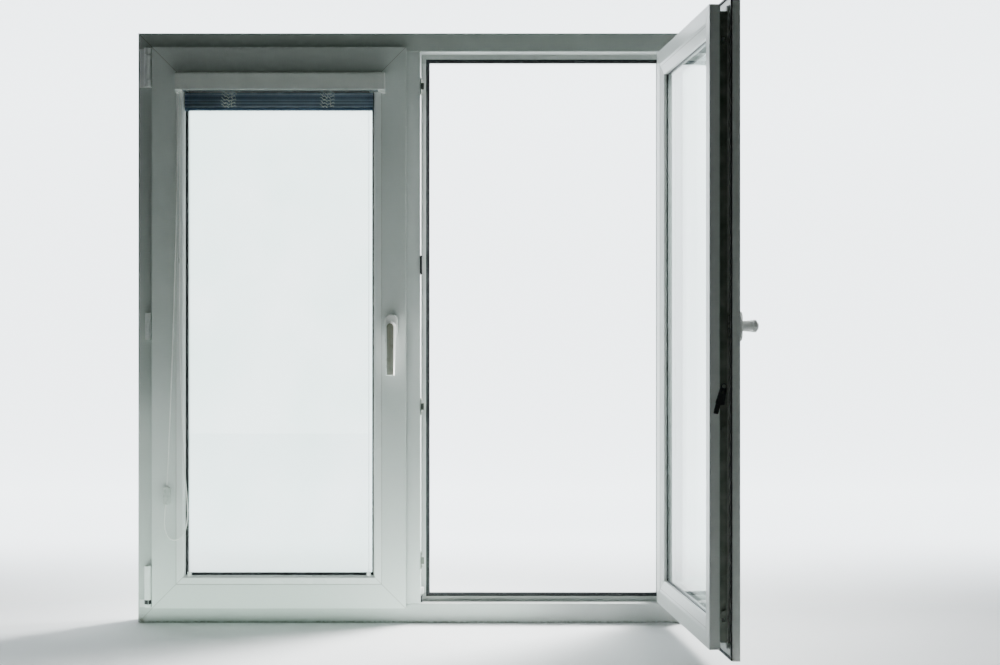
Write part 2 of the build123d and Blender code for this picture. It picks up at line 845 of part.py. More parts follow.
def drive_rod(drop):
    """Sliding strip with a row of windows for the gear teeth and three cams."""
    x1 = -sash_x_lock - rod_u
    x0 = x1 - rod_t
    z0 = cam_heights[0] - 12
    z1 = cam_heights[-1] + 12
    strip = block(x0, x1, y_groove - rod_w / 2, y_groove + rod_w / 2, z0, z1)
    pitch = gear_module * math.pi
    slope = math.tan(math.radians(20))
    pitch_x = -sash_x_lock - pitch_u
    in_half = pitch / 4 + (pitch_x - x0) * slope + tooth_play / 2
    out_half = pitch / 4 - (x1 - pitch_x) * slope + tooth_play / 2
    window = make_face(Polyline((x0 - 0.01, -in_half), (x1 + 0.01, -out_half), (x1 + 0.01, out_half),
                                (x0 - 0.01, in_half), close=True))
    window = extrude(Rot(90, 0, 0) * window, gear_t / 2 + 0.25, both=True)
    count = 2 * math.ceil(cam_travel / pitch) + 3
    for step in range(-3, count):
        strip -= Pos(0, y_groove, handle_z + step * pitch) * window
    for z in cam_heights:
        tip = -sash_x_lock - flange_w + cam_out
        strip += rod_x(cam_shaft_r, y_groove, z, x1 - 0.5, tip - 1)
        strip += rod_x(cam_r, y_groove, z, tip - 5.5, tip)
    return Pos(0, 0, -drop) * strip


def rose():
    """Handle rose with a bearing recess for the neck."""
    y0 = y_room - rose_t
    outline = Pos(-spindle_x, handle_z) * SlotOverall(rose_h, rose_w, rotation=90)
    plate = extrude(Plane.XZ.offset(-y_room) * outline, rose_t)
    plate = fillet(plate.faces().sort_by(Axis.Y)[0].edges(), 2.5)
    plate -= rod_y(neck_r + pin_fit, -spindle_x, handle_z, y0 - 1, y0 + 4)
    return plate - rod_y(square - 1.5, -spindle_x, handle_z, y0, y_room + 1)


def lever_outline(top_r, half_tip, tip_z):
    """Front view of the lever: a round top that tapers to a square tip."""
    top = ThreePointArc((-top_r, 0), (0, top_r), (top_r, 0))
    rest = Polyline((top_r, 0), (half_tip, tip_z), (-half_tip, tip_z), (-top_r, 0))
    return make_face([top, rest])


def lever():
    """Cast lever with its neck and the square spindle, pointing down."""
    y_front = y_room - lever_out
    y_rim = y_front + lever_rim_t
    wide = lever_outline(lever_top_w / 2, lever_tip_w / 2, -lever_below)
    flat = lever_outline(lever_flat_w / 2, lever_flat_w / 2, -lever_below + 2)
    blade = extrude(Plane.XZ.offset(-y_rim) * wide, -(lever_t - lever_rim_t))
    blade = fillet(blade.edges().group_by(Axis.Y)[-1], 2)
    blade += loft([Plane.XZ.offset(-y_rim) * wide, Plane.XZ.offset(-y_front) * flat], ruled=True)
    neck = rod_y(neck_r, 0, 0, y_front + lever_t - 3, y_room - rose_t + 3.9)
    spindle = block(-square / 2, square / 2, y_room - rose_t, y_groove + groove_w / 2 - 1.5,
                    -square / 2, square / 2)
    return blade + neck + spindle


def placed_lever(turn):
    """The lever on the left spindle, turned from its lowest place."""
    return Pos(-spindle_x, 0, handle_z) * Rot(0, turn, 0) * lever()


# Striker plates. They are drawn for the right wall of the mullion.


def keep(z, height_out):
    """Striker plate with a hook wall beside the cam."""
    x0 = half_mullion
    plate = block(x0, x0 + keep_t, y_groove - keep_w / 2, y_groove + keep_w / 2, z - keep_h / 2,
                  z + keep_h / 2)
    plate = fillet(plate.edges().filter_by(Axis.X), 3)
    wall_y1 = y_groove - cam_r - 0.5
    wall = block(x0, x0 + height_out, wall_y1 - hook_t, wall_y1, z - hook_len / 2, z + hook_len / 2)
    wall = chamfer(wall.edges().filter_by(Axis.X).sort_by(Axis.Z)[:2], 1)
    plate += wall
    for hole_z in keep_screw_heights():
        plate -= rod_x(screw_r + pin_fit, y_groove + 5, hole_z, x0 - 1, x0 + keep_t + 1)
    return plate


def keep_screws():
    """Screws through the striker plates into the mullion steel."""
    screws = []
    face = half_mullion + keep_t
    for z in keep_screw_heights():
        body = rod_x(screw_r, y_groove + 5, z, half_mullion - screw_deep, face)
        head = Pos(face + 0.5, y_groove + 5, z) * Rot(0, 90, 0) * Cone(3.4, 2.4, 1)
        screws.append(body + head)
    return screws + [mirrored(screw) for screw in screws]


def vent_plate():
    """Black plastic stop plate on the right wall of the mullion."""
    plate = block(half_mullion, half_mullion + 3.5, y_in - 1.5, y_in + 16, 827, 872)
    plate = fillet(plate.edges().filter_by(Axis.Y).sort_by(Axis.X)[-2:], 2)
    return plate + block(half_mullion - 1.6, half_mullion + 1, y_in - 1.5, y_in, 829, 870)


def run_up_block():
    """White block that lifts the lock corner of the right sash as it closes."""
    shape = block(half_mullion, half_mullion + 6, y_in + 3, y_in + 33, frame_face + 22, frame_face + 36)
    return chamfer(shape.edges().filter_by(Axis.X).sort_by(Axis.Y)[:2], 4)


def corner_keep():
    """Dark corner striker beside the run-up block."""
    shape = block(half_mullion, half_mullion + 4, y_in + 3, y_in + 22, frame_face + 3, frame_face + 17)
    shape -= block(half_mullion + 2, half_mullion + 5, y_in + 8, y_in + 23, frame_face + 6,
                   frame_face + 14)
    return fillet(shape.edges().filter_by(Axis.X).sort_by(Axis.Y)[:2], 2)


# Anti-slam lever, drawn for the left sash


def blocker_rivet():
    """Headed rivet of the strip over the rod, which the lever turns on."""
    x0 = blocker_x - blocker_gap - 0.5
    x1 = blocker_x + blocker_t + 0.1
    shank = rod_x(rivet_r, y_groove, blocker_pin_z, x0, x1 + 0.2)
    return shank + rod_x(rivet_head_r, y_groove, blocker_pin_z, x1, x1 + rivet_head_t)


def along_plate(sketch, x0, thick):
    """Thicken a (Y, Z) sketch drawn round the rivet."""
    return extrude(Plane.YZ.offset(x0) * Pos(y_groove, blocker_pin_z) * sketch, thick)


def blocker():
    """Flat lever that hangs from its rivet and swings along the edge of the sash."""
    half = blocker_foot_w / 2
    r = blocker_end_r
    outline = Circle(r) + make_face(Polyline((-r, 0), (r, 0), (half, -blocker_reach + 3), (0, -blocker_reach),
                                             (-half, -blocker_reach + 3), close=True))
    outline -= Circle(rivet_r + pin_fit)
    outline -= Pos(0, -blocker_hole_down) * SlotOverall(6.5, 3.6, rotation=90)
    tip = Pos(blocker_tip_out, -(blocker_reach + blocker_tip_reach) / 2 + 2) * RectangleRounded(
        blocker_tip_w, blocker_tip_reach - blocker_reach + 4, 1.5)
    body = along_plate(outline, blocker_x, blocker_t)
    body = chamfer(body.faces().sort_by(Axis.X)[-1].outer_wire().edges(), 0.6)
    body += along_plate(tip, blocker_x, blocker_tip_t)
    return body.rotate(Axis((0, y_groove, blocker_pin_z), (1, 0, 0)), blocker_swing)


# Blind on the left sash


def rail_ends():
    """Inner ends of the two end caps."""
    return (rail_x0 + cap_w, rail_x1 - cap_w)


def rail_outline(inset):
    """Side view of the cover that stands before the sash."""
    y0 = y_room - rail_out
    outline = rect(y0 + inset, y_room - inset, rail_z0 + inset, rail_z1 - inset)
    front = outline.vertices().filter_by(lambda v: v.X < y0 + inset + 1)
    return fillet(front, rail_r - inset)


def foot_outline(inset):
    """Side view of the foot of the headrail, which stands in the glass recess."""
    foot_top = sash_z1 - body_u - bead_w - 4
    return rect(y_room - 2 * rail_wall, y_bead - 0.5 - inset, rail_z0 + inset, foot_top - inset)


def along_x(sketch, x0, x1):
    """Extrude a (Y, Z) sketch from one X to another."""
    return extrude(Plane.YZ.offset(x0) * sketch, x1 - x0)


def headrail():
    """Extruded headrail with curved front corners and a slot along the bottom."""
    x0, x1 = rail_ends()
    y0 = y_room - rail_out
    shape = along_x(rail_outline(0), x0, x1) + along_x(foot_outline(0), slat_x0, slat_x1)
    shape -= along_x(rail_outline(rail_wall), x0, x1)
    shape -= along_x(foot_outline(rail_wall), slat_x0 + rail_wall, slat_x1 - rail_wall)
    slot_y1 = slat_y + slat_w / 2 - 2
    return shape - block(slat_x0 + rail_slot, slat_x1 - rail_slot, y0 + rail_slot, slot_y1, rail_z0,
                         rail_z0 + rail_wall)


def end_caps():
    """Moulded caps that close both ends of the headrail."""
    caps = []
    y0 = y_room - rail_out
    inner_ends = rail_ends()
    for x0, x1, tab in ((rail_x0, inner_ends[0], rail_x0), (inner_ends[1], rail_x1, rail_x1 - tab_w)):
        cap = along_x(rail_outline(0), x0, x1)
        cap -= along_x(rail_outline(cap_wall), x0 + cap_wall, x1 - cap_wall)
        cap += block(tab, tab + tab_w, y0 + rail_r, y_room, rail_z0 - tab_h, rail_z0)
        cap -= rod_x(tilt_r + pin_fit, tilt_y, tilt_z, inner_ends[0] - cap_wall, inner_ends[1] + cap_wall)
        caps.append(cap)
    return [caps[0] - cord_tube(cord_fit), caps[1]]


def tilt_rod():
    """Shaft along the headrail that turns the two cord drums."""
    x0, x1 = rail_ends()
    shaft = rod_x(tilt_r, tilt_y, tilt_z, x0 - cap_wall, x1 + cap_wall)
    for x in ladder_x:
        shaft += rod_x(drum_r, tilt_y, tilt_z, x - drum_w / 2, x + drum_w / 2)
        groove = rod_x(drum_r + 1, tilt_y, tilt_z, x - drum_w / 4, x + drum_w / 4)
        shaft -= groove - rod_x(drum_r - 2, tilt_y, tilt_z, x - drum_w / 4, x + drum_w / 4)
    return shaft


def slats():
    """Stack of crowned aluminium slats with holes for the wires and cords."""
    crown = 1.1
    radius = (slat_w ** 2 / 4 + crown ** 2) / (2 * crown)
    half_angle = math.degrees(math.asin(slat_w / 2 / radius))
    strip = along_x(Pos(slat_y, -slat_t) * make_face(slat_outline(radius, half_angle)), slat_x0, slat_x1)
    for x in (slat_x0 + guide_in, slat_x1 - guide_in):
        strip -= rod_z(guide_hole_r, x, slat_y, -5, 5)
    for x in ladder_x:
        strip -= block(x - cord_slot / 2, x + cord_slot / 2, slat_y - 1.6, slat_y + 1.6, -5, 5)
    stack = []
    for step in range(slat_count):
        sway = 0.3 * math.sin(step * 2.1) + 0.2 * math.sin(step * 0.7)
        stack.append(Pos(0, sway, stack_z0 + (step + 1) * slat_pitch) * strip)
    return stack


def slat_outline(radius, half_angle):
    """Closed outline of one thin crowned slat."""
    upper = CenterArc((0, -radius), radius, 90 - half_angle, 2 * half_angle)
    lower = CenterArc((0, -radius), radius - slat_t, 90 - half_angle, 2 * half_angle)
    ends = [Line(upper @ 0, lower @ 0), Line(upper @ 1, lower @ 1)]
    return [upper, lower] + ends


def bottom_rail():
    """Bottom rail of the raised blind."""
    z1 = stack_z0 - 1.1
    outline = Pos(slat_y, z1 - bottom_rail_h / 2) * RectangleRounded(slat_w, bottom_rail_h, 2.5)
    shape = along_x(outline, slat_x0, slat_x1)
    for x in (slat_x0 + guide_in, slat_x1 - guide_in):
        shape -= rod_z(guide_hole_r, x, slat_y, z1 - bottom_rail_h - 1, z1 + 1)
    return shape


def guide_wires():
    """Two tight guide wires from the headrail to the bottom clips."""
    top = rail_z0 + 4
    return [rod_z(guide_r, x, slat_y, clip_z, top) for x in (slat_x0 + guide_in, slat_x1 - guide_in)]


def wire_clips():
    """Clips on the bottom bead that hold the wires."""
    clips = []
    for x in (slat_x0 + guide_in, slat_x1 - guide_in):
        clip = block(x - 4.5, x + 4.5, slat_y - 5, slat_y + 3.5, clip_z, clip_z + 3)
        clip += block(x - 4.5, x + 4.5, slat_y - 5, slat_y - 3, clip_z, clip_z + 9)
        clip = fillet(clip.edges().filter_by(Axis.Z), 0.8)
        clips.append(clip - rod_z(guide_r + pin_fit, x, slat_y, clip_z - 1, clip_z + 10))
    return clips


def ladder_cords():
    """Ladder cords at the stack, with the slack that hangs in loops before it."""
    cords = []
    front = slat_y - slat_w / 2 - 1.6
    for x in ladder_x:
        top = rail_z0
        cord = rod_z(0.6, x - 5, front, stack_z0 - 3, top)
        cord += rod_z(0.6, x + 5, front, stack_z0 - 3, top)
        for step in range(5):
            ring_z = stack_z0 + 5 + step * 6.5
            ring_x = x - 9 + step * 4.5
            loop = Pos(ring_x, front, ring_z) * Rot(90, 0, 25 * step - 40) * Torus(5.5, 0.6)
            cord += loop
        cords.append(cord)
    return cords


# Control cord of the blind: a loop of two strands and one low bend

cord_points = (
    (-543.8, 1262), (-544.5, 1216), (-545.6, 1150), (-546.2, 1060), (-545.8, 950), (-546.4, 830),
    (-546.6, 716), (-545, 610), (-541.7, 510), (-538.2, 430), (-534.7, 365), (-529.5, 310),
    (-526.6, 268), (-528.5, 236), (-536, 213), (-548, 201), (-562, 198), (-575, 206),
    (-581.6, 226), (-582.4, 250), (-579.5, 275), (-577.4, 300), (-576, 330), (-573.5, 380),
    (-570.5, 450), (-566.8, 545), (-563, 650), (-559.6, 760), (-556.5, 870), (-553.6, 980),
    (-551.4, 1080), (-550.2, 1160), (-549.6, 1220), (-549.4, 1262),
)


def cord_radii(points):
    """Bend radii as large as the two runs beside each point allow."""
    radii = []
    for before, here, after in zip(points, points[1:], points[2:]):
        first = here - before
        second = after - here
        turn = math.radians(first.get_angle(second))
        radii.append(0.45 * min(first.length, second.length) / math.tan(turn / 2))
    return radii


def cord_path():
    """Straight runs joined by tangent arcs."""
    points = [Vector(x, cord_y, z) for x, z in cord_points]
    return FilletPolyline(*points, radius=cord_radii(points))


def cord_tube(extra):
    """Round tube along the cord's route, wider by a clearance."""
    path = cord_path()
    start = Plane(origin=path @ 0, z_dir=path % 0)
    return sweep(start * Circle(cord_d / 2 + extra), path=path)


def control_cord():
    """Twisted cord as a plain round tube."""
    tube = cord_tube(0)
    length = cord_path().length
    share = tube.volume / (length * math.pi * cord_d ** 2 / 4)
    print("cord length:", round(length), "volume share:", round(share, 4))
    radii = cord_radii([Vector(x, cord_y, z) for x, z in cord_points])
    print("cord bend radii:", [round(radius) for radius in radii])
    return tube


def cord_connector():
    """Clear moulded connector that joins the ends of the loop."""
    x, z = cord_points[22]
    shape = Pos(x, cord_y, z - 26) * Box(17, 8, 42)
    shape = fillet(shape.edges().filter_by(Axis.Y), 5)
    shape = fillet(shape.edges().group_by(Axis.Y)[0] + shape.edges().group_by(Axis.Y)[-1], 1.5)
    for across, up in ((0, 0), (0, 5), (0, -5), (5, 0), (-5, 0)):
        shape -= rod_y(1.1, x + across, z - 26 + up, cord_y - 5, cord_y - cord_d / 2 - 0.6)
    return shape - cord_tube(cord_fit)


def cord_joiner():
    """Small white crimp on the right strand."""
    return Pos(joiner_x, cord_y, joiner_z) * Cylinder(2.6, 12) - cord_tube(cord_fit)


# Assembly


def opened(shape):
    """Turn a closed right-hand shape to its open rest place."""
    hinge = Axis((axis_x, axis_y, 0), (0, 0, 1))
    return shape.rotate(hinge, open_angle)


def right_hand(shapes):
    """Mirror left-hand shapes and open them with the right sash."""
    if isinstance(shapes, list):
        return [opened(mirrored(shape)) for shape in shapes]
    return opened(mirrored(shapes))


def sash_nodes(turn):
    """Every piece of one sash, for the left, with its handle at an angle."""
    drop = cam_travel * turn / 90
    return {
        "sash": sash_frame(),
        "sash_steel": sash_steel(),
        "beads": beads(),
        "room_pane": pane(y_glass_in, 0.5),
        "outer_pane": pane(y_glass_out - pane_t, 0.5),
        "spacer": spacer(),
        "seals": glazing_seals() + [overlap_seal()],
        "setting_blocks": setting_blocks(),
        "upper_arm": upper_arm(),
        "lower_leaf": lower_leaf(),
        "gearbox": gearbox(),
        "rose": rose(),
        "lever": placed_lever(turn),
        "pinion": pinion(turn),
        "drive_rod": drive_rod(drop),
    }


def frame_nodes():
    """Every piece that stays with the frame."""
    return {
        "outer_frame": outer_frame(),
        "mullion": mullion(),
        "frame_steel": [frame_steel(), mullion_steel()],
        "mullion_brackets": mullion_brackets(),
        "stop_seals": stop_seals(),
        "upper_brackets": [upper_bracket(), mirrored(upper_bracket())],
        "lower_brackets": [lower_bracket(), mirrored(lower_bracket())],
        "side_clamps": side_clamps(),
        "hinge_pins": hinge_pins(),
        "right_keeps": [keep(z, hook_h) for z in cam_heights],
        "left_keeps": [mirrored(keep(z, low_hook_h)) for z in cam_heights],
        "keep_screws": keep_screws(),
        "vent_plate": vent_plate(),
        "run_up_block": run_up_block(),
        "corner_keep": corner_keep(),
    }


def blind_nodes():
    """Every piece of the blind."""
    return {
        "blind_headrail": headrail(),
        "blind_end_caps": end_caps(),
        "blind_tilt_rod": tilt_rod(),
        "blind_slats": slats(),
        "blind_bottom_rail": bottom_rail(),
        "blind_guide_wires": guide_wires(),
        "blind_wire_clips": wire_clips(),
        "blind_ladder_cords": ladder_cords(),
        "blind_cord": control_cord(),
        "blind_connector": cord_connector(),
        "blind_joiner": cord_joiner(),
    }


def write(name, shape):
    """Write one node, whether one solid or a group of them."""
    solids = []
    for item in shape if isinstance(shape, list) else [shape]:
        solids.extend(item.solids())
    export_step(solids[0] if len(solids) == 1 else Compound(children=solids), f"parts/{name}.step")


def main():
    """Build every node and write it."""
    os.makedirs("parts", exist_ok=True)
    nodes = frame_nodes()
    nodes.update(blind_nodes())
    for name, shape in sash_nodes(0).items():
        nodes["left_" + name] = shape
    for name, shape in sash_nodes(90).items():
        nodes["right_" + name] = right_hand(shape)
    nodes["left_faceplate"] = faceplate()
    nodes["right_faceplate"] = right_hand(faceplate() + blocker_rivet())
    nodes["right_blocker"] = right_hand(blocker())
    for name, shape in nodes.items():
        write(name, shape)


main()
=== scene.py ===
import math

import bmesh
import bpy
from mathutils import Matrix, Vector, noise


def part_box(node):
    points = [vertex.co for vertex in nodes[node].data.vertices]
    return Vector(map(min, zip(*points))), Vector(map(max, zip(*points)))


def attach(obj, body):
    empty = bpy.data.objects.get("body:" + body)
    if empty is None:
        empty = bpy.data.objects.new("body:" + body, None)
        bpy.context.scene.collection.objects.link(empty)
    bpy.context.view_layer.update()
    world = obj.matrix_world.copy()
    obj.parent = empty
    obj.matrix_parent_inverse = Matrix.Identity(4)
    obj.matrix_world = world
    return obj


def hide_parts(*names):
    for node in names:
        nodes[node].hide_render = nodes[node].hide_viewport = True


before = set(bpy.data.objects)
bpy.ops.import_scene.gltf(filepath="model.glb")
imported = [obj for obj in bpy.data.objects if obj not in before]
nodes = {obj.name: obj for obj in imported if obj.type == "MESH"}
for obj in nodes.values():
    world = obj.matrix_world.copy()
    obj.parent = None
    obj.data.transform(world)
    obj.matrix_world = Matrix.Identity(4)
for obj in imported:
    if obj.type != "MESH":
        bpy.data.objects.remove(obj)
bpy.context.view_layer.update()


# View. The window is seen level, from in front of the mullion and a little to
# the right, at the height of the sashes' middle, as a person stands in a room.
lens_mm = 56.55
film_mm = 36
view_place = (0.2095, -3.7604, 0.6889)

camera = bpy.data.objects.new("camera", bpy.data.cameras.new("camera"))
camera.data.lens = lens_mm
camera.data.sensor_width = film_mm
camera.location = view_place
camera.rotation_euler = (math.radians(90), 0, 0)
bpy.context.scene.collection.objects.link(camera)
bpy.context.scene.camera = camera


# Control cord of the blind. Three strands of white polyester are laid into one
# soft cord; both ends run up into the left end cap, over a drum in the headrail.
cord_mm = 2.8
strands = 3
strand_mm = 1.36
strand_sides = 6
lay_mm = 8.5
steps_in_lay = 10
cord_y = -0.056
cord_route = (
    (-0.5438, 1.262), (-0.5445, 1.216), (-0.5456, 1.150), (-0.5462, 1.060), (-0.5458, 0.950),
    (-0.5464, 0.830), (-0.5466, 0.716), (-0.5450, 0.610), (-0.5417, 0.510), (-0.5382, 0.430),
    (-0.5347, 0.365), (-0.5295, 0.310), (-0.5266, 0.268), (-0.5285, 0.236), (-0.5360, 0.213),
    (-0.5480, 0.201), (-0.5620, 0.198), (-0.5750, 0.206), (-0.5816, 0.226), (-0.5824, 0.250),
    (-0.5795, 0.275), (-0.5774, 0.300), (-0.5760, 0.330), (-0.5735, 0.380), (-0.5705, 0.450),
    (-0.5668, 0.545), (-0.5630, 0.650), (-0.5596, 0.760), (-0.5565, 0.870), (-0.5536, 0.980),
    (-0.5514, 1.080), (-0.5502, 1.160), (-0.5496, 1.220), (-0.5494, 1.262),
)


def linear(text):
    """A colour written as sRGB hex, as linear light."""
    parts = [int(text[i:i + 2], 16) / 255 for i in (1, 3, 5)]
    return [v / 12.92 if v <= 0.04045 else ((v + 0.055) / 1.055) ** 2.4 for v in parts] + [1.0]


def fill(tree, node, **inputs):
    """Set or link a node's inputs, by name or by _number. A node stands for its first output."""
    for key, value in inputs.items():
        socket = node.inputs[int(key[1:])] if key[0] == "_" else node.inputs[key.replace("_", " ")]
        if isinstance(value, bpy.types.Node):
            value = value.outputs[0]
        if isinstance(value, bpy.types.NodeSocket):
            tree.links.new(value, socket)
        else:
            socket.default_value = value
    return node


def fill_ramp(elements, stops):
    """Give a colour ramp its stops, each a place and an sRGB hex colour."""
    for element, (place, colour) in ((elements[0], stops[0]), (elements[-1], stops[-1])):
        element.position = place
        element.color = linear(colour)
    for place, colour in stops[1:-1]:
        elements.new(place).color = linear(colour)


def add(tree, kind, settings=None, **inputs):
    """Add a node with its settings and its inputs. The setting called stops fills a colour ramp."""
    node = tree.nodes.new(kind)
    for key, value in (settings or {}).items():
        if key == "stops":
            fill_ramp(node.color_ramp.elements, value)
        else:
            setattr(node, key, value)
    return fill(tree, node, **inputs)


def finish_of(name, **shader):
    """A material with one shader, ready for its patterns, and the place on the object that they read."""
    material = bpy.data.materials.new(name)
    material.use_nodes = True
    tree = material.node_tree
    tree.nodes.clear()
    surface = add(tree, "ShaderNodeBsdfPrincipled", **shader)
    add(tree, "ShaderNodeOutputMaterial", Surface=surface)
    place = add(tree, "ShaderNodeTexCoord").outputs["Object"]
    return material, tree, surface, place


def route_line(name, route, y):
    """The cord's own smooth line through its route."""
    curve = bpy.data.curves.new(name, "CURVE")
    curve.dimensions = "3D"
    curve.resolution_u = 24
    spline = curve.splines.new("NURBS")
    spline.points.add(len(route) - 1)
    for point, (x, z) in zip(spline.points, route):
        point.co = (x, y, z, 1)
    spline.order_u = 3
    spline.use_endpoint_u = True
    thing = bpy.data.objects.new(name, curve)
    bpy.context.scene.collection.objects.link(thing)
    bpy.context.view_layer.update()
    mesh = bpy.data.meshes.new_from_object(thing.evaluated_get(bpy.context.evaluated_depsgraph_get()))
    points = [vertex.co.copy() for vertex in mesh.vertices]
    bpy.data.objects.remove(thing)
    bpy.data.meshes.remove(mesh)
    return points


def even_steps(points, step):
    """Points a fixed step apart along a line, with the distance run to each."""
    out = [(points[0].copy(), 0.0)]
    run, need = 0.0, step
    for a, b in zip(points, points[1:]):
        length = (b - a).length
        while length > 0 and run + length >= need:
            out.append((a.lerp(b, (need - run) / length), need))
            need += step
        run += length
    out.append((points[-1].copy(), run))
    return out


def join_rings(shape, rings, closed=False):
    """Skin from each ring of corners to the next, and from the last to the first if they are closed."""
    after = rings[1:] + rings[:1] if closed else rings[1:]
    for a, b in zip(rings, after):
        for k in range(len(a)):
            n = (k + 1) % len(a)
            shape.faces.new((a[k], b[k], b[n], a[n]))


def tube_of(shape, centres, radius, sides):
    """Skin a row of centres with a round tube that is closed at both ends."""
    nearly_y = Vector((0, 1, 0.001))
    rings = []
    for i, centre in enumerate(centres):
        ahead = centres[min(i + 1, len(centres) - 1)] - centres[max(i - 1, 0)]
        ahead.normalize()
        across = ahead.cross(nearly_y).normalized()
        up = ahead.cross(across)
        ring = []
        for k in range(sides):
            turn = 2 * math.pi * k / sides
            ring.append(shape.verts.new(centre + radius * (math.cos(turn) * across + math.sin(turn) * up)))
        rings.append(ring)
    join_rings(shape, rings)
    for end in (rings[0], rings[-1][::-1]):
        shape.faces.new(end)


def as_piece(name, shape, material, smooth=True):
    """Make a finished mesh of the shape, with its faces outwards."""
    bmesh.ops.recalc_face_normals(shape, faces=shape.faces)
    mesh = bpy.data.meshes.new(name)
    shape.to_mesh(mesh)
    shape.free()
    for face in mesh.polygons:
        face.use_smooth = smooth
    mesh.materials.append(material)
    piece = bpy.data.objects.new(name, mesh)
    bpy.context.scene.collection.objects.link(piece)
    return piece


# Polyester, spun and laid: white with a grey thread here and there, and dull. The
# threads are drawn coarser than they are, so that they show.
thread_mm = 1.1
thread_deep_mm = 0.15
polyester, tree, surface, place = finish_of(
    "laid_polyester_cord", Roughness=0.85, IOR=1.55, Sheen_Weight=0.5)
threads = add(tree, "ShaderNodeTexNoise", Vector=place, Scale=1000 / thread_mm, Detail=3.0, Roughness=0.6)
white = add(tree, "ShaderNodeValToRGB", {"stops": ((0.25, "#c9ccc8"), (0.42, "#f8f8f4"), (0.7, "#ffffff"))},
            Fac=threads)
relief = add(tree, "ShaderNodeBump", Height=threads, Distance=thread_deep_mm / 1000)
fill(tree, surface, Base_Color=white, Normal=relief)

cord_line = route_line("route", cord_route, cord_y)
steps = even_steps(cord_line, lay_mm / 1000 / steps_in_lay)
shape = bmesh.new()
for strand in range(strands):
    centres = []
    for i, (centre, run) in enumerate(steps):
        before = steps[max(i - 1, 0)][0]
        after = steps[min(i + 1, len(steps) - 1)][0]
        ahead = (after - before).normalized()
        across = ahead.cross(Vector((0, 1, 0))).normalized()
        turn = 2 * math.pi * (run / (lay_mm / 1000) + strand / strands)
        offset = (cord_mm - strand_mm) / 2000
        centres.append(centre + offset * (math.cos(turn) * across + math.sin(turn) * Vector((0, 1, 0))))
    tube_of(shape, centres, strand_mm / 2000, strand_sides)
cord = as_piece("control_cord", shape, polyester)
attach(cord, "left_sash")
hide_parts("blind_cord")


# Connector and joiner of the cord. The connector is a milky clear moulding that
# snaps round the two ends of the loop; the joiner is a small white crimp.
cloud_mm = 6
cloud_deep_mm = 0.1


def dress(node, material):
    """Give a solid its finish, in place of the plain one it came with."""
    nodes[node].data.materials[0] = material


# A third of the light goes through, and the rest is scattered inside, so it looks milky.
clear_moulding, tree, surface, place = finish_of(
    "milky_clear_moulding", Roughness=0.28, IOR=1.49, Transmission_Weight=0.35, Subsurface_Weight=0.3,
    Subsurface_Radius=(0.004, 0.004, 0.004))
cloud = add(tree, "ShaderNodeTexNoise", Vector=place, Scale=1000 / cloud_mm, Detail=2.0)
milk = add(tree, "ShaderNodeValToRGB", {"stops": ((0.3, "#cfd6d1"), (0.7, "#eef1ee"))}, Fac=cloud)
relief = add(tree, "ShaderNodeBump", Height=cloud, Distance=cloud_deep_mm / 1000)
fill(tree, surface, Base_Color=milk, Normal=relief)
dress("blind_connector", clear_moulding)


# Outer frame and mullion. Both are extruded hard PVC, stabilised white; the
# frame's corners are butt-welded and cleaned with a scraper, the mullion is screwed in.
hinge = Vector((0.624, -0.041, 0))
open_turn = math.radians(95)
die_line_mm = 1.1
die_line_long_mm = 330
die_line_deep_mm = 0.03
tone_mm = 330
grit_mm = 2.4
rub_mm = 10.5
grime_colour = "#6f6858"
weld_half, weld_fade, weld_dark = 0.0006, 0.0016, 0.38
seam_half, seam_fade, seam_dark = 0.0003, 0.0011, 0.5
grit_reach, grit_low, grit_everywhere = 0.35, 0.16, 0.02
corner_dirt = (0.022, 0.002)
foot_dirt, foot_dark = 0.006, 0.6
no_seam = -1.0


def sash_place(tree, place, turned):
    """The place on a piece of the open sash, turned back to where it is with the sash shut."""
    if not turned:
        return place
    back = Matrix.Rotation(-open_turn, 3, "Z")
    return add(tree, "ShaderNodeMapping", Vector=place, Location=hinge - back @ hinge,
               Rotation=(0, 0, -open_turn))


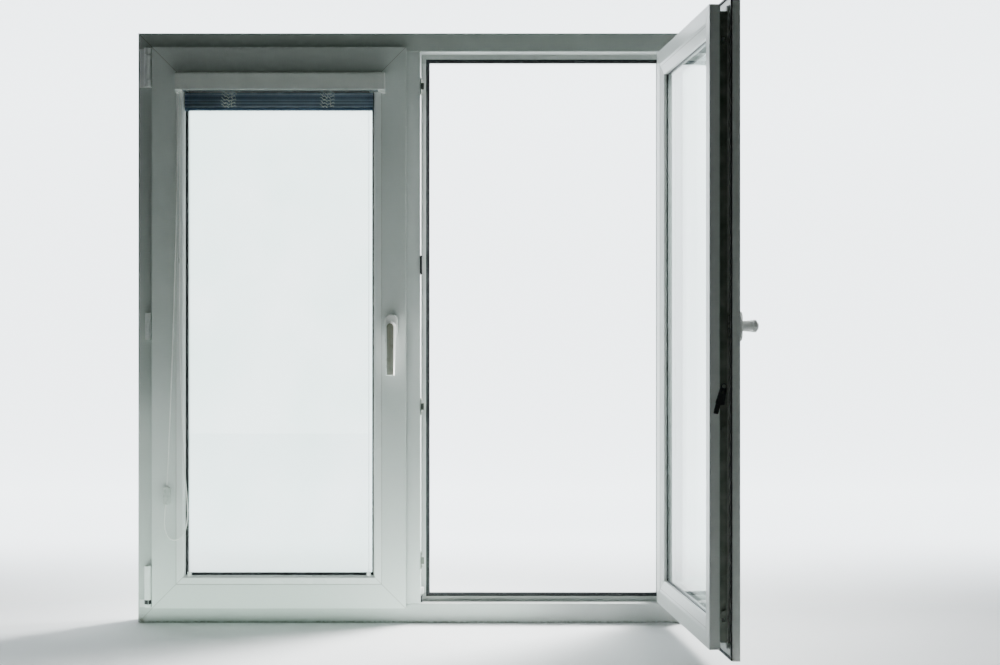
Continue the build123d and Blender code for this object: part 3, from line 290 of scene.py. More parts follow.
def hard_pvc(name, bars, turned=False, tones=("#dce1de", "#e6eae8"), gloss=0.3, joint=no_seam, foot=False):
    """Extruded PVC: a satin skin with die lines along each bar, thin weld lines on the mitres, and a little
    grime. The die lines are drawn coarser than they are, so that they show."""
    material, tree, surface, place = finish_of(name, Roughness=gloss, IOR=1.53)
    place = sash_place(tree, place, turned)
    parts = add(tree, "ShaderNodeSeparateXYZ", Vector=place).outputs
    x0, x1, z0, z1 = bars
    right = add(tree, "ShaderNodeMath", {"operation": "SUBTRACT"}, _0=x1, _1=parts[0])
    left = add(tree, "ShaderNodeMath", {"operation": "SUBTRACT"}, _0=parts[0], _1=x0)
    across = add(tree, "ShaderNodeMath", {"operation": "MINIMUM"}, _0=left, _1=right)
    above = add(tree, "ShaderNodeMath", {"operation": "SUBTRACT"}, _0=parts[2], _1=z0)
    below = add(tree, "ShaderNodeMath", {"operation": "SUBTRACT"}, _0=z1, _1=parts[2])
    upright = add(tree, "ShaderNodeMath", {"operation": "MINIMUM"}, _0=above, _1=below)
    edge = add(tree, "ShaderNodeMath", {"operation": "MINIMUM"}, _0=across, _1=upright)
    along = add(tree, "ShaderNodeMath", {"operation": "ADD"}, _0=parts[0], _1=parts[2])
    die = add(
        tree, "ShaderNodeCombineXYZ",
        X=add(tree, "ShaderNodeMath", {"operation": "MULTIPLY"}, _0=edge, _1=1000 / die_line_mm),
        Y=add(tree, "ShaderNodeMath", {"operation": "MULTIPLY"}, _0=parts[1], _1=1000 / die_line_mm),
        Z=add(tree, "ShaderNodeMath", {"operation": "MULTIPLY"}, _0=along, _1=1000 / die_line_long_mm))
    die_lines = add(tree, "ShaderNodeTexNoise", Vector=die, Scale=1.0, Detail=3.0, Roughness=0.6)
    waves = add(tree, "ShaderNodeTexNoise", Vector=place, Scale=1000 / tone_mm, Detail=3.0, Roughness=0.5)
    grit = add(tree, "ShaderNodeTexNoise", Vector=place, Scale=1000 / grit_mm, Detail=6.0, Roughness=0.6)

    off_mitre = add(tree, "ShaderNodeMath", {"operation": "SUBTRACT"}, _0=across, _1=upright)
    off_mitre = add(tree, "ShaderNodeMath", {"operation": "ABSOLUTE"}, _0=off_mitre)
    weld = add(tree, "ShaderNodeMapRange", Value=off_mitre, From_Min=weld_fade, From_Max=weld_half,
               To_Max=weld_dark)
    off_joint = add(tree, "ShaderNodeMath", {"operation": "SUBTRACT"}, _0=edge, _1=joint)
    off_joint = add(tree, "ShaderNodeMath", {"operation": "ABSOLUTE"}, _0=off_joint)
    seam = add(tree, "ShaderNodeMapRange", Value=off_joint, From_Min=seam_fade, From_Max=seam_half,
               To_Max=seam_dark)
    lines = add(tree, "ShaderNodeMath", {"operation": "MAXIMUM"}, _0=weld, _1=seam)
    low = add(tree, "ShaderNodeMapRange", Value=above, From_Min=grit_reach, From_Max=0.0,
              To_Min=grit_everywhere, To_Max=grit_everywhere + grit_low)
    spots = add(tree, "ShaderNodeMapRange", Value=grit, From_Min=0.6, From_Max=0.74)
    dusty = add(tree, "ShaderNodeMath", {"operation": "MULTIPLY"}, _0=spots, _1=low)
    grime = add(tree, "ShaderNodeMath", {"operation": "MAXIMUM"}, _0=lines, _1=dusty)
    if foot:
        lowest = add(tree, "ShaderNodeMath", {"operation": "MAXIMUM"}, _0=left, _1=above)
        corner = add(tree, "ShaderNodeMapRange", Value=lowest, From_Min=corner_dirt[0],
                     From_Max=corner_dirt[1])
        strip = add(tree, "ShaderNodeMapRange", Value=above, From_Min=foot_dirt, From_Max=0.0,
                    To_Max=foot_dark)
        rubbed = add(tree, "ShaderNodeTexNoise", Vector=place, Scale=1000 / rub_mm, Detail=5.0, Roughness=0.7)
        left_on = add(tree, "ShaderNodeMapRange", Value=rubbed, From_Min=0.38, From_Max=0.6)
        dirt = add(tree, "ShaderNodeMath", {"operation": "MAXIMUM"}, _0=corner, _1=strip)
        dirt = add(tree, "ShaderNodeMath", {"operation": "MULTIPLY"}, _0=dirt, _1=left_on)
        grime = add(tree, "ShaderNodeMath", {"operation": "MAXIMUM"}, _0=grime, _1=dirt)
    clean = add(tree, "ShaderNodeValToRGB", {"stops": ((0.25, tones[0]), (0.75, tones[1]))}, Fac=waves)
    mixed = add(tree, "ShaderNodeMix", {"data_type": "RGBA"}, _0=grime, _6=clean, _7=linear(grime_colour))
    rough = add(tree, "ShaderNodeMapRange", Value=waves, To_Min=gloss - 0.04, To_Max=gloss + 0.1)
    relief = add(tree, "ShaderNodeBump", Height=die_lines, Distance=die_line_deep_mm / 1000, Strength=0.5)
    fill(tree, surface, Base_Color=mixed.outputs[2], Roughness=rough, Normal=relief)
    return material


def bars_of(node):
    """The outer edges of a welded frame: left, right, bottom and top."""
    low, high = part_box(node)
    return low.x, high.x, low.z, high.z


# Painted shade: the frame's PVC is drawn darker than the sash's, as the shade on the frame around and behind
# the sashes.
frame_shaded_tones = ("#c9cfcb", "#d4d9d6")
dress("outer_frame", hard_pvc("hard_pvc_frame", bars_of("outer_frame"), tones=frame_shaded_tones, foot=True))

# The mullion's edges are put far above and below it, because it has no mitres.
mullion_bars = (-0.021, 0.021, -3.0, 4.4)
dress("mullion", hard_pvc("hard_pvc_mullion", mullion_bars))


# Steel inside the profiles, and the cast connectors of the mullion. Galvanised
# strip, roll-formed into tubes and channels, with a dull spangled zinc skin.
spangle_mm = 6
spangle_deep_mm = 0.02
galvanised, tree, surface, place = finish_of("galvanised_strip", Metallic=1.0, Roughness=0.45)
spangle = add(tree, "ShaderNodeTexVoronoi", {"feature": "F1"}, Vector=place, Scale=1000 / spangle_mm)
zinc = add(tree, "ShaderNodeValToRGB", {"stops": ((0.1, "#8f9698"), (0.9, "#bcc2c3"))},
           Fac=spangle.outputs["Color"])
relief = add(tree, "ShaderNodeBump", Height=spangle.outputs["Distance"], Distance=spangle_deep_mm / 1000,
             Strength=0.4)
fill(tree, surface, Base_Color=zinc, Normal=relief)
for node in ("frame_steel", "left_sash_steel", "right_sash_steel"):
    dress(node, galvanised)

# Pressure-cast zinc: dull grey, with the fine pitting of the mould.
pitting_mm = 2.4
pitting_deep_mm = 0.06
zinc_casting, tree, surface, place = finish_of("zinc_casting", Metallic=1.0, Roughness=0.55)
skin = add(tree, "ShaderNodeTexNoise", Vector=place, Scale=1000 / pitting_mm, Detail=4.0)
grey = add(tree, "ShaderNodeValToRGB", {"stops": ((0.3, "#6f7476"), (0.7, "#9a9fa0"))}, Fac=skin)
relief = add(tree, "ShaderNodeBump", Height=skin, Distance=pitting_deep_mm / 1000)
fill(tree, surface, Base_Color=grey, Normal=relief)
for node in ("mullion_brackets", "left_gearbox", "right_gearbox"):
    dress(node, zinc_casting)


# Seals. Black EPDM, extruded and pushed into grooves of the profiles, dull and
# a little dusty, with a faint sheen where the lip is bent.
dust_mm = 4.5
dust_deep_mm = 0.05
epdm, tree, surface, place = finish_of("black_epdm", Roughness=0.6, IOR=1.52, Sheen_Weight=0.12)
dust = add(tree, "ShaderNodeTexNoise", Vector=place, Scale=1000 / dust_mm, Detail=6.0, Roughness=0.7)
black = add(tree, "ShaderNodeValToRGB", {"stops": ((0.45, "#101317"), (0.8, "#3a3f43"))}, Fac=dust)
relief = add(tree, "ShaderNodeBump", Height=dust, Distance=dust_deep_mm / 1000)
fill(tree, surface, Base_Color=black, Normal=relief)
for node in ("stop_seals", "left_seals", "right_seals"):
    dress(node, epdm)

# The wide flap behind each stop seal's nose, that covers the groove it is pressed into.
flap_w = 0.0036
flap_t = 0.0011
flap_edge_t = flap_t * 0.45
flap_back = 0.0124
nose_x = (0.0355, 0.5905)
nose_z = (0.0595, 1.3405)
section = ((0, flap_back), (0, flap_back - flap_t), (flap_w, flap_back - flap_edge_t), (flap_w, flap_back))
shape = bmesh.new()
for side in (-1, 1):
    loops = []
    for wide, y in section:
        x0, x1 = nose_x[0] - wide, nose_x[1] + wide
        z0, z1 = nose_z[0] - wide, nose_z[1] + wide
        loops.append([shape.verts.new((side * x, y, z)) for x, z in ((x0, z0), (x1, z0), (x1, z1), (x0, z1))])
    join_rings(shape, loops, closed=True)
flaps = as_piece("seal_flaps", shape, epdm, smooth=False)
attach(flaps, "frame")


# Sashes and their beads. The same hard PVC, welded at the corners; the beads are
# cut to length with mitres and snapped into the sash, and are shinier, and painted whiter as the light on
# them.
bead_line = 0.0571
# Painted light: the beads' white is drawn lighter than the sash's, as the light falling on them.
bead_lit_tones = ("#eceeed", "#f6f8f7")
bead_gloss = 0.26
left_bars = bars_of("left_sash")
right_bars = (-left_bars[1], -left_bars[0], left_bars[2], left_bars[3])
for side, bars, turned in (("left", left_bars, False), ("right", right_bars, True)):
    dress(side + "_sash", hard_pvc("hard_pvc_" + side + "_sash", bars, turned=turned, joint=bead_line))
    dress(side + "_beads", hard_pvc("hard_pvc_" + side + "_beads", bars, turned=turned, tones=bead_lit_tones,
                                    gloss=bead_gloss, joint=bead_line))


# Glass units. Float glass, clear with a green cast and a film of dust in patches,
# held apart by a bright aluminium bar and carried on plastic blocks.
film_patch_mm = 200
dust_grain_mm = 1.4
dust_patch_mm = 250
dust_cover = 0.22
float_glass, tree, surface, place = finish_of("float_glass", Roughness=0.0, IOR=1.5, Transmission_Weight=1.0)
film = add(tree, "ShaderNodeTexNoise", Vector=place, Scale=1000 / film_patch_mm, Detail=5.0, Roughness=0.6)
cast = add(tree, "ShaderNodeValToRGB", {"stops": ((0.3, "#eef8f4"), (0.7, "#fafdfc"))}, Fac=film)
fill(tree, surface, Base_Color=cast)
dust = add(tree, "ShaderNodeTexNoise", Vector=place, Scale=1000 / dust_grain_mm, Detail=4.0, Roughness=0.7)
drift = add(tree, "ShaderNodeTexNoise", Vector=place, Scale=1000 / dust_patch_mm, Detail=4.0, Roughness=0.6)
grains = add(tree, "ShaderNodeMapRange", Value=dust, From_Min=0.56, From_Max=0.72, To_Max=dust_cover)
patch = add(tree, "ShaderNodeMapRange", Value=drift, From_Min=0.4, From_Max=0.7, To_Min=0.15)
cover = add(tree, "ShaderNodeMath", {"operation": "MULTIPLY"}, _0=grains, _1=patch)
grey_dust = add(tree, "ShaderNodeBsdfDiffuse", Color=linear("#d9ddd6"))
dusty = add(tree, "ShaderNodeMixShader", _0=cover, _1=surface, _2=grey_dust)
fill(tree, tree.nodes["Material Output"], Surface=dusty)
for node in ("left_room_pane", "left_outer_pane", "right_room_pane", "right_outer_pane"):
    dress(node, float_glass)

# Rolled aluminium bar: bright, with rows of dark pin holes that the drying grains inside breathe through.
pin_hole_mm = 3
pin_hole_deep_mm = 0.05
bright_bar, tree, surface, place = finish_of("rolled_aluminium_bar", Metallic=1.0, Roughness=0.32)
pin_holes = add(tree, "ShaderNodeTexVoronoi", {"feature": "F1"}, Vector=place, Scale=1000 / pin_hole_mm,
                Randomness=0.1)
bright = add(tree, "ShaderNodeValToRGB", {"stops": ((0.0, "#5d6264"), (0.25, "#c9cccd"))}, Fac=pin_holes)
relief = add(tree, "ShaderNodeBump", Height=pin_holes, Distance=pin_hole_deep_mm / 1000, Strength=0.4)
fill(tree, surface, Base_Color=bright, Normal=relief)
for node in ("left_spacer", "right_spacer"):
    dress(node, bright_bar)

# Moulded polypropylene blocks: blue, and slightly uneven.
block_grain_mm = 3.3
block_grain_deep_mm = 0.05
packing, tree, surface, place = finish_of("moulded_packing_block", Roughness=0.5, IOR=1.5)
grain = add(tree, "ShaderNodeTexNoise", Vector=place, Scale=1000 / block_grain_mm, Detail=2.0)
blue = add(tree, "ShaderNodeValToRGB", {"stops": ((0.3, "#1f3c66"), (0.7, "#2f5285"))}, Fac=grain)
relief = add(tree, "ShaderNodeBump", Height=grain, Distance=block_grain_deep_mm / 1000)
fill(tree, surface, Base_Color=blue, Normal=relief)
for node in ("left_setting_blocks", "right_setting_blocks"):
    dress(node, packing)


# Hinges. Pressed and cast steel under white powder coat, with plain steel pins;
# the coat has a fine orange peel and is a little uneven in its white.
peel_mm = 1.5
peel_deep_mm = 0.04
uneven_mm = 17
coated, tree, surface, place = finish_of("white_powder_coat", Roughness=0.38, IOR=1.52)
peel = add(tree, "ShaderNodeTexNoise", Vector=place, Scale=1000 / peel_mm, Detail=2.0)
uneven = add(tree, "ShaderNodeTexNoise", Vector=place, Scale=1000 / uneven_mm, Detail=5.0, Roughness=0.65)
white = add(tree, "ShaderNodeValToRGB", {"stops": ((0.25, "#eceeec"), (0.55, "#f5f7f6"), (0.8, "#fbfcfb"))},
            Fac=uneven)
relief = add(tree, "ShaderNodeBump", Height=peel, Distance=peel_deep_mm / 1000)
fill(tree, surface, Base_Color=white, Normal=relief)
for node in ("upper_brackets", "lower_brackets", "side_clamps", "left_upper_arm", "right_upper_arm",
             "left_lower_leaf", "right_lower_leaf"):
    dress(node, coated)

# Turned steel: fine rings from the tool, drawn as coarse as they need to show. A
# wave's bands repeat after a tenth of pi over its scale.
ring_mm = 0.45
ring_deep_mm = 0.02
turned_steel, tree, surface, place = finish_of("turned_steel", Metallic=1.0, Roughness=0.3)
rings = add(tree, "ShaderNodeTexWave", {"bands_direction": "Z"}, Vector=place, Scale=100 * math.pi / ring_mm,
            Distortion=0.5)
steel = add(tree, "ShaderNodeValToRGB", {"stops": ((0.0, "#8d9294"), (1.0, "#b4b9ba"))}, Fac=rings)
relief = add(tree, "ShaderNodeBump", Height=rings, Distance=ring_deep_mm / 1000, Strength=0.5)
fill(tree, surface, Base_Color=steel, Normal=relief)
for node in ("hinge_pins", "left_pinion", "right_pinion"):
    dress(node, turned_steel)


# Lock gear in the sash edges, and the striker plates on the mullion. Punched and
# die-cast parts with a zinc coat, painted a darker grey as shade in the sash grooves, and fine scratches
# along them.
bloom_mm = 38
scratch_mm = 1.1
scratch_long_mm = 33
scratch_deep_mm = 0.03
shaded_zinc_coat, tree, surface, place = finish_of("zinc_plated_steel", Metallic=0.75, Roughness=0.4)
bloom = add(tree, "ShaderNodeTexNoise", Vector=place, Scale=1000 / bloom_mm, Detail=4.0, Roughness=0.5)
drawn = add(tree, "ShaderNodeMapping", Vector=place,
            Scale=(1000 / scratch_mm, 1000 / scratch_mm, 1000 / scratch_long_mm))
scratches = add(tree, "ShaderNodeTexNoise", Vector=drawn, Scale=1.0, Detail=3.0)
# Painted shade: these greys are darker than the zinc is, as the shade in the sash grooves.
grey = add(tree, "ShaderNodeValToRGB", {"stops": ((0.3, "#6a7068"), (0.55, "#7f857d"), (0.8, "#979c94"))},
           Fac=bloom)
relief = add(tree, "ShaderNodeBump", Height=scratches, Distance=scratch_deep_mm / 1000, Strength=0.5)
fill(tree, surface, Base_Color=grey, Normal=relief)
for node in ("left_faceplate", "right_faceplate", "left_drive_rod", "right_drive_rod", "left_keeps",
             "right_keeps", "keep_screws"):
    dress(node, shaded_zinc_coat)

# The coupling and end plates on the strips. Each has its bottom and top, and its
# holes: the middle's height, the radius, and half the straight length of a slot.
strip_front = 0.0320
strip_y = -0.0205
plate_t = 0.0009
plate_half = 0.0065
hole_corners = 16
end_corners = 32
coupling_plates = (
    ((1.2010, 1.2378),
     ((1.2338, 0.0015, 0.0), (1.2268, 0.0015, 0.0), (1.2192, 0.0020, 0.0036), (1.2100, 0.0031, 0.0))),
    ((1.3025, 1.3280), ((1.3182, 0.0015, 0.0), (1.3088, 0.0022, 0.0030))),
    ((0.1660, 0.2036), ((0.1985, 0.0015, 0.0), (0.1915, 0.0015, 0.0), (0.1800, 0.0020, 0.0050))),
)


def slot_outline(middle, radius, half_long, corners=hole_corners):
    """A round hole, or a slot with round ends, as points across and up the strip."""
    points = []
    for i in range(corners):
        turn = 2 * math.pi * (i + 0.5) / corners
        z = middle + radius * math.sin(turn) + math.copysign(half_long, math.sin(turn))
        points.append((radius * math.cos(turn), z))
    return points


def punched_plates(side):
    """The plates on one sash's edge strip, cut through by their holes and slots."""
    shape = bmesh.new()
    for (z0, z1), holes in coupling_plates:
        outline = slot_outline((z0 + z1) / 2, plate_half, (z1 - z0) / 2 - plate_half, end_corners)
        edges = []
        for loop in [outline] + [slot_outline(*hole) for hole in holes]:
            corners = [shape.verts.new((side * strip_front, strip_y + y, z)) for y, z in loop]
            edges += [shape.edges.new((a, b)) for a, b in zip(corners, corners[1:] + corners[:1])]
        filled = bmesh.ops.triangle_fill(shape, use_beauty=True, edges=edges)["geom"]
        faces = [part for part in filled if isinstance(part, bmesh.types.BMFace)]
        lifted = bmesh.ops.extrude_face_region(shape, geom=faces)["geom"]
        bmesh.ops.translate(shape, vec=(-side * plate_t, 0, 0),
                            verts=[part for part in lifted if isinstance(part, bmesh.types.BMVert)])
    return shape


to_open = Matrix.Translation(hinge) @ Matrix.Rotation(open_turn, 4, "Z") @ Matrix.Translation(-hinge)
for side, body in ((-1, "left_sash"), (1, "right_sash")):
    shape = punched_plates(side)
    if side > 0:
        bmesh.ops.transform(shape, matrix=to_open, verts=shape.verts)
    plates = as_piece("coupling_plates_" + body, shape, shaded_zinc_coat, smooth=False)
    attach(plates, body)


# Handles. Die-cast aluminium levers and roses under a smooth white powder coat,
# shiny where the hand has polished them.
worn_mm = 22
face_shade_edge = (0.0007, 0.0003)
face_shade_colours = ("#8f8e82", "#acaca2")
lever_face_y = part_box("left_lever")[0].y
left_lever_z = (0.68, 0.59)
right_lever_x = (0.02, 0.16)


def handle_coat(name, turned=False, face_shaded=False):
    """Smooth white coat; the flat front of a lever is painted grey inside its white rim, as shade of the dim
    room its glossy face mirrors, and lighter towards its lower end, as light from below.
    """
    material, tree, surface, place = finish_of(name, Roughness=0.25, IOR=1.52, Coat_Weight=0.25)
    place = sash_place(tree, place, turned)
    worn = add(tree, "ShaderNodeTexNoise", Vector=place, Scale=1000 / worn_mm, Detail=5.0, Roughness=0.6)
    coat = add(tree, "ShaderNodeValToRGB", {"stops": ((0.25, "#e6e8e5"), (0.7, "#f4f5f3"))}, Fac=worn)
    if face_shaded:
        # Painted shade on the lever's front, painted lighter towards the lower end as light from below.
        parts = add(tree, "ShaderNodeSeparateXYZ", Vector=place).outputs
        face_shade = add(tree, "ShaderNodeMapRange", Value=parts[1], From_Min=lever_face_y + face_shade_edge[0],
                    From_Max=lever_face_y + face_shade_edge[1])
        down, (start, end) = (parts[0], right_lever_x) if turned else (parts[2], left_lever_z)
        lit_low_end = add(tree, "ShaderNodeMapRange", Value=down, From_Min=start, From_Max=end)
        grey = add(tree, "ShaderNodeValToRGB", {"stops": ((0.0, face_shade_colours[0]), (1.0, face_shade_colours[1]))},
                   Fac=lit_low_end)
        coat = add(tree, "ShaderNodeMix", {"data_type": "RGBA"}, _0=face_shade, _6=coat, _7=grey).outputs[2]
    rough = add(tree, "ShaderNodeMapRange", Value=worn, To_Min=0.18, To_Max=0.4)
    fill(tree, surface, Base_Color=coat, Roughness=rough)
    return material


dress("left_lever", handle_coat("smooth_white_coat_left_lever", face_shaded=True))
dress("right_lever", handle_coat("smooth_white_coat_right_lever", turned=True, face_shaded=True))
rose_coat = handle_coat("smooth_white_coat_roses")
for node in ("left_rose", "right_rose"):
    dress(node, rose_coat)


# Small moulded parts on the mullion, in the edge of the open sash and in the lower
# hinges: black acetal, dull and close-grained, and white acetal for the run-up.
black_grain_mm = 1.25
black_grain_deep_mm = 0.04
black_acetal, tree, surface, place = finish_of("black_acetal", Roughness=0.42, IOR=1.48)
grain = add(tree, "ShaderNodeTexNoise", Vector=place, Scale=1000 / black_grain_mm, Detail=3.0)
black = add(tree, "ShaderNodeValToRGB", {"stops": ((0.3, "#111315"), (0.8, "#2a2d2f"))}, Fac=grain)
relief = add(tree, "ShaderNodeBump", Height=grain, Distance=black_grain_deep_mm / 1000)
fill(tree, surface, Base_Color=black, Normal=relief)
for node in ("vent_plate", "corner_keep", "right_blocker"):
    dress(node, black_acetal)

# Split bushes round the necks of the two lower hinge bearings, seen as black marks
# under the leaves. Each half is an arc in degrees, counted from the front.
bush_in = 0.0057
bush_out = 0.0083
bush_z = (0.0463, 0.0561)
bush_halves = ((-88, 10), (24, 88))
bush_steps = 12
shape = bmesh.new()
for side in (-1, 1):
    for start, end in bush_halves:
        outline = []
        for radius, first, last in ((bush_in, start, end), (bush_out, end, start)):
            for i in range(bush_steps + 1):
                turn = math.radians(first + (last - first) * i / bush_steps)
                outline.append((side * hinge.x + radius * math.sin(turn), hinge.y - radius * math.cos(turn)))
        rims = [[shape.verts.new((x, y, z)) for x, y in outline] for z in bush_z]
        join_rings(shape, rims)
        for rim in rims:
            shape.faces.new(rim)
bushes = as_piece("bearing_bushes", shape, black_acetal, smooth=False)
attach(bushes, "frame")

# White acetal: a little shinier than the black.
white_grain_mm = 2
white_grain_deep_mm = 0.03
white_acetal, tree, surface, place = finish_of("white_acetal", Roughness=0.35, IOR=1.48)
grain = add(tree, "ShaderNodeTexNoise", Vector=place, Scale=1000 / white_grain_mm, Detail=3.0)
white = add(tree, "ShaderNodeValToRGB", {"stops": ((0.3, "#e2e4e1"), (0.8, "#f2f3f1"))}, Fac=grain)
relief = add(tree, "ShaderNodeBump", Height=grain, Distance=white_grain_deep_mm / 1000)
fill(tree, surface, Base_Color=white, Normal=relief)
for node in ("run_up_block", "blind_end_caps", "blind_wire_clips", "blind_joiner"):
    dress(node, white_acetal)


# Headrail of the blind. Aluminium, extruded and enamelled white, with its underside
# painted dark as shade, and the shaft that turns the two drums inside it.
draw_line_mm = 1.4
draw_line_long_mm = 250
draw_line_deep_mm = 0.02
enamel_tone_mm = 80
rail_enamel, tree, surface, place = finish_of("white_rail_enamel", Roughness=0.3, IOR=1.5)
drawn = add(tree, "ShaderNodeMapping", Vector=place,
            Scale=(1000 / draw_line_long_mm, 1000 / draw_line_mm, 1000 / draw_line_mm))
draw_lines = add(tree, "ShaderNodeTexNoise", Vector=drawn, Scale=1.0, Detail=2.0)
tone = add(tree, "ShaderNodeTexNoise", Vector=place, Scale=1000 / enamel_tone_mm, Detail=3.0)
enamel = add(tree, "ShaderNodeValToRGB", {"stops": ((0.3, "#e2e4e1"), (0.7, "#eceeeb"))}, Fac=tone)
# Painted shade: faces that look down are drawn dark grey, as the shade under the rail.
facing = add(tree, "ShaderNodeSeparateXYZ", Vector=add(tree, "ShaderNodeNewGeometry").outputs["Normal"])
under = add(tree, "ShaderNodeMapRange", Value=facing.outputs[2], From_Min=-0.3, From_Max=-0.8)
enamel_and_under_shade = add(tree, "ShaderNodeMix", {"data_type": "RGBA"}, _0=under, _6=enamel, _7=linear("#4a545a"))
relief = add(tree, "ShaderNodeBump", Height=draw_lines, Distance=draw_line_deep_mm / 1000, Strength=0.5)
fill(tree, surface, Base_Color=enamel_and_under_shade.outputs[2], Normal=relief)
dress("blind_headrail", rail_enamel)
dress("blind_tilt_rod", turned_steel)


# Slats and bottom rail. Rolled aluminium strip, crowned and stove-enamelled dark
# blue; pulled up, the slats lie on each other in small packs, no two quite in line.
slat_count = 58
slat_crown_mm = 1.1
slat_thick_mm = 0.25
slat_pitch_mm = 0.58
slat_edge_gap = 0.0005
crown_steps = 8
pack_of = 6
pack_sway_mm = 0.9
own_sway_share = 0.35
pack_tones = 0.55
own_tones = 0.2
slat_seed = 4
streak_mm = (500, 25, 3.3)

# The enamel is streaked along the slat, and each pack and each slat has its own tone.
slat_enamel, tree, surface, place = finish_of("dark_blue_stove_enamel", Roughness=0.3, IOR=1.5)
drawn = add(tree, "ShaderNodeMapping", Vector=place, Scale=[1000 / size for size in streak_mm])
streak = add(tree, "ShaderNodeTexNoise", Vector=drawn, Scale=1.0, Detail=3.0)
tone = add(tree, "ShaderNodeAttribute", {"attribute_name": "tone"})
shade = add(tree, "ShaderNodeMath", {"operation": "MULTIPLY_ADD"}, _0=streak, _1=0.35, _2=tone.outputs["Fac"])
blue = add(tree, "ShaderNodeValToRGB", {"stops": ((0.15, "#435a72"), (0.5, "#7792ad"), (0.95, "#d3dee6"))},
           Fac=shade)
fill(tree, surface, Base_Color=blue)
dress("blind_bottom_rail", slat_enamel)


def geometry_group(name, sockets):
    """An empty Geometry Nodes group with named inputs and one geometry output."""
    group = bpy.data.node_groups.new(name, "GeometryNodeTree")
    for label, kind in sockets:
        group.interface.new_socket(name=label, in_out="INPUT", socket_type=kind)
    group.interface.new_socket(name="Geometry", in_out="OUTPUT", socket_type="NodeSocketGeometry")
    return group, group.nodes.new("NodeGroupInput").outputs


def grown(name, group, values, points=()):
    """Evaluate a group once, on some points if it needs them, and keep the result as a plain mesh."""
    host = bpy.data.objects.new(name, bpy.data.meshes.new(name))
    host.data.from_pydata(points, [], [])
    bpy.context.scene.collection.objects.link(host)
    modifier = host.modifiers.new("rows", "NODES")
    modifier.node_group = group
    for item in group.interface.items_tree:
        if item.in_out == "INPUT" and item.name != "Geometry":
            modifier[item.identifier] = values[item.name]
    bpy.context.view_layer.update()
    mesh = bpy.data.meshes.new_from_object(host.evaluated_get(bpy.context.evaluated_depsgraph_get()))
    host.modifiers.remove(modifier)
    host.data = mesh
    return host


def pattern_piece(name, shape, material, smooth=True):
    """A piece outside the scene that a group copies."""
    piece = as_piece(name, shape, material, smooth)
    bpy.context.scene.collection.objects.unlink(piece)
    return piece


low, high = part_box("blind_slats")
middle_y = (low.y + high.y) / 2
half_w = (high.y - low.y) / 2 - slat_edge_gap
shape = bmesh.new()
ends = []
for x in (low.x, high.x):
    upper, under = [], []
    for i in range(crown_steps + 1):
        t = 2 * i / crown_steps - 1
        z = -slat_crown_mm / 1000 * t * t
        upper.append(shape.verts.new((x, half_w * t, z)))
        under.append(shape.verts.new((x, half_w * t, z - slat_thick_mm / 1000)))
    ends.append(upper + under[::-1])
join_rings(shape, ends)
for end in ends:
    shape.faces.new(end)
slat = pattern_piece("slat", shape, slat_enamel)

stack_group, given = geometry_group("slat_stack", (
    ("Slat", "NodeSocketObject"), ("Count", "NodeSocketInt"), ("Pitch", "NodeSocketFloat"),
    ("Base", "NodeSocketVector"), ("Pack", "NodeSocketFloat"), ("Sway", "NodeSocketFloat"),
    ("Seed", "NodeSocketInt"), ("Finish", "NodeSocketMaterial")))
step = add(stack_group, "ShaderNodeCombineXYZ", Z=given["Pitch"])
line = add(stack_group, "GeometryNodeMeshLine", Count=given["Count"], Start_Location=given["Base"],
           Offset=step)
index = add(stack_group, "GeometryNodeInputIndex")
packs = add(stack_group, "ShaderNodeMath", {"operation": "DIVIDE"}, _0=index, _1=given["Pack"])
packs = add(stack_group, "ShaderNodeMath", {"operation": "FLOOR"}, _0=packs)
draws = []
for least, most, each in ((-1.0, 1.0, packs), (-own_sway_share, own_sway_share, index),
                          (0.0, pack_tones, packs), (0.0, own_tones, index)):
    draw = add(stack_group, "FunctionNodeRandomValue", {"data_type": "FLOAT"}, _2=least, _3=most, ID=each,
               Seed=given["Seed"])
    draws.append(draw.outputs[1])
shift = add(stack_group, "ShaderNodeMath", {"operation": "ADD"}, _0=draws[0], _1=draws[1])
shift = add(stack_group, "ShaderNodeMath", {"operation": "MULTIPLY"}, _0=shift, _1=given["Sway"])
moved = add(stack_group, "GeometryNodeSetPosition", Geometry=line,
            Offset=add(stack_group, "ShaderNodeCombineXYZ", Y=shift))
part = add(stack_group, "GeometryNodeObjectInfo", Object=given["Slat"])
copies = add(stack_group, "GeometryNodeInstanceOnPoints", Points=moved, Instance=part.outputs["Geometry"])
tones = add(stack_group, "ShaderNodeMath", {"operation": "ADD"}, _0=draws[2], _1=draws[3])
toned = add(stack_group, "GeometryNodeStoreNamedAttribute", {"data_type": "FLOAT", "domain": "INSTANCE"},
            Geometry=copies, Name="tone", Value=tones)
real = add(stack_group, "GeometryNodeRealizeInstances", Geometry=toned)
finished = add(stack_group, "GeometryNodeSetMaterial", Geometry=real, Material=given["Finish"])
add(stack_group, "NodeGroupOutput", _0=finished)

stack = grown("slat_stack", stack_group, {
    "Slat": slat, "Count": slat_count, "Pitch": slat_pitch_mm / 1000,
    "Base": (0.0, middle_y, low.z + (slat_crown_mm + slat_thick_mm) / 1000),
    "Pack": float(pack_of), "Sway": pack_sway_mm / 2000, "Seed": slat_seed, "Finish": slat_enamel})
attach(stack, "left_sash")
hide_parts("blind_slats")


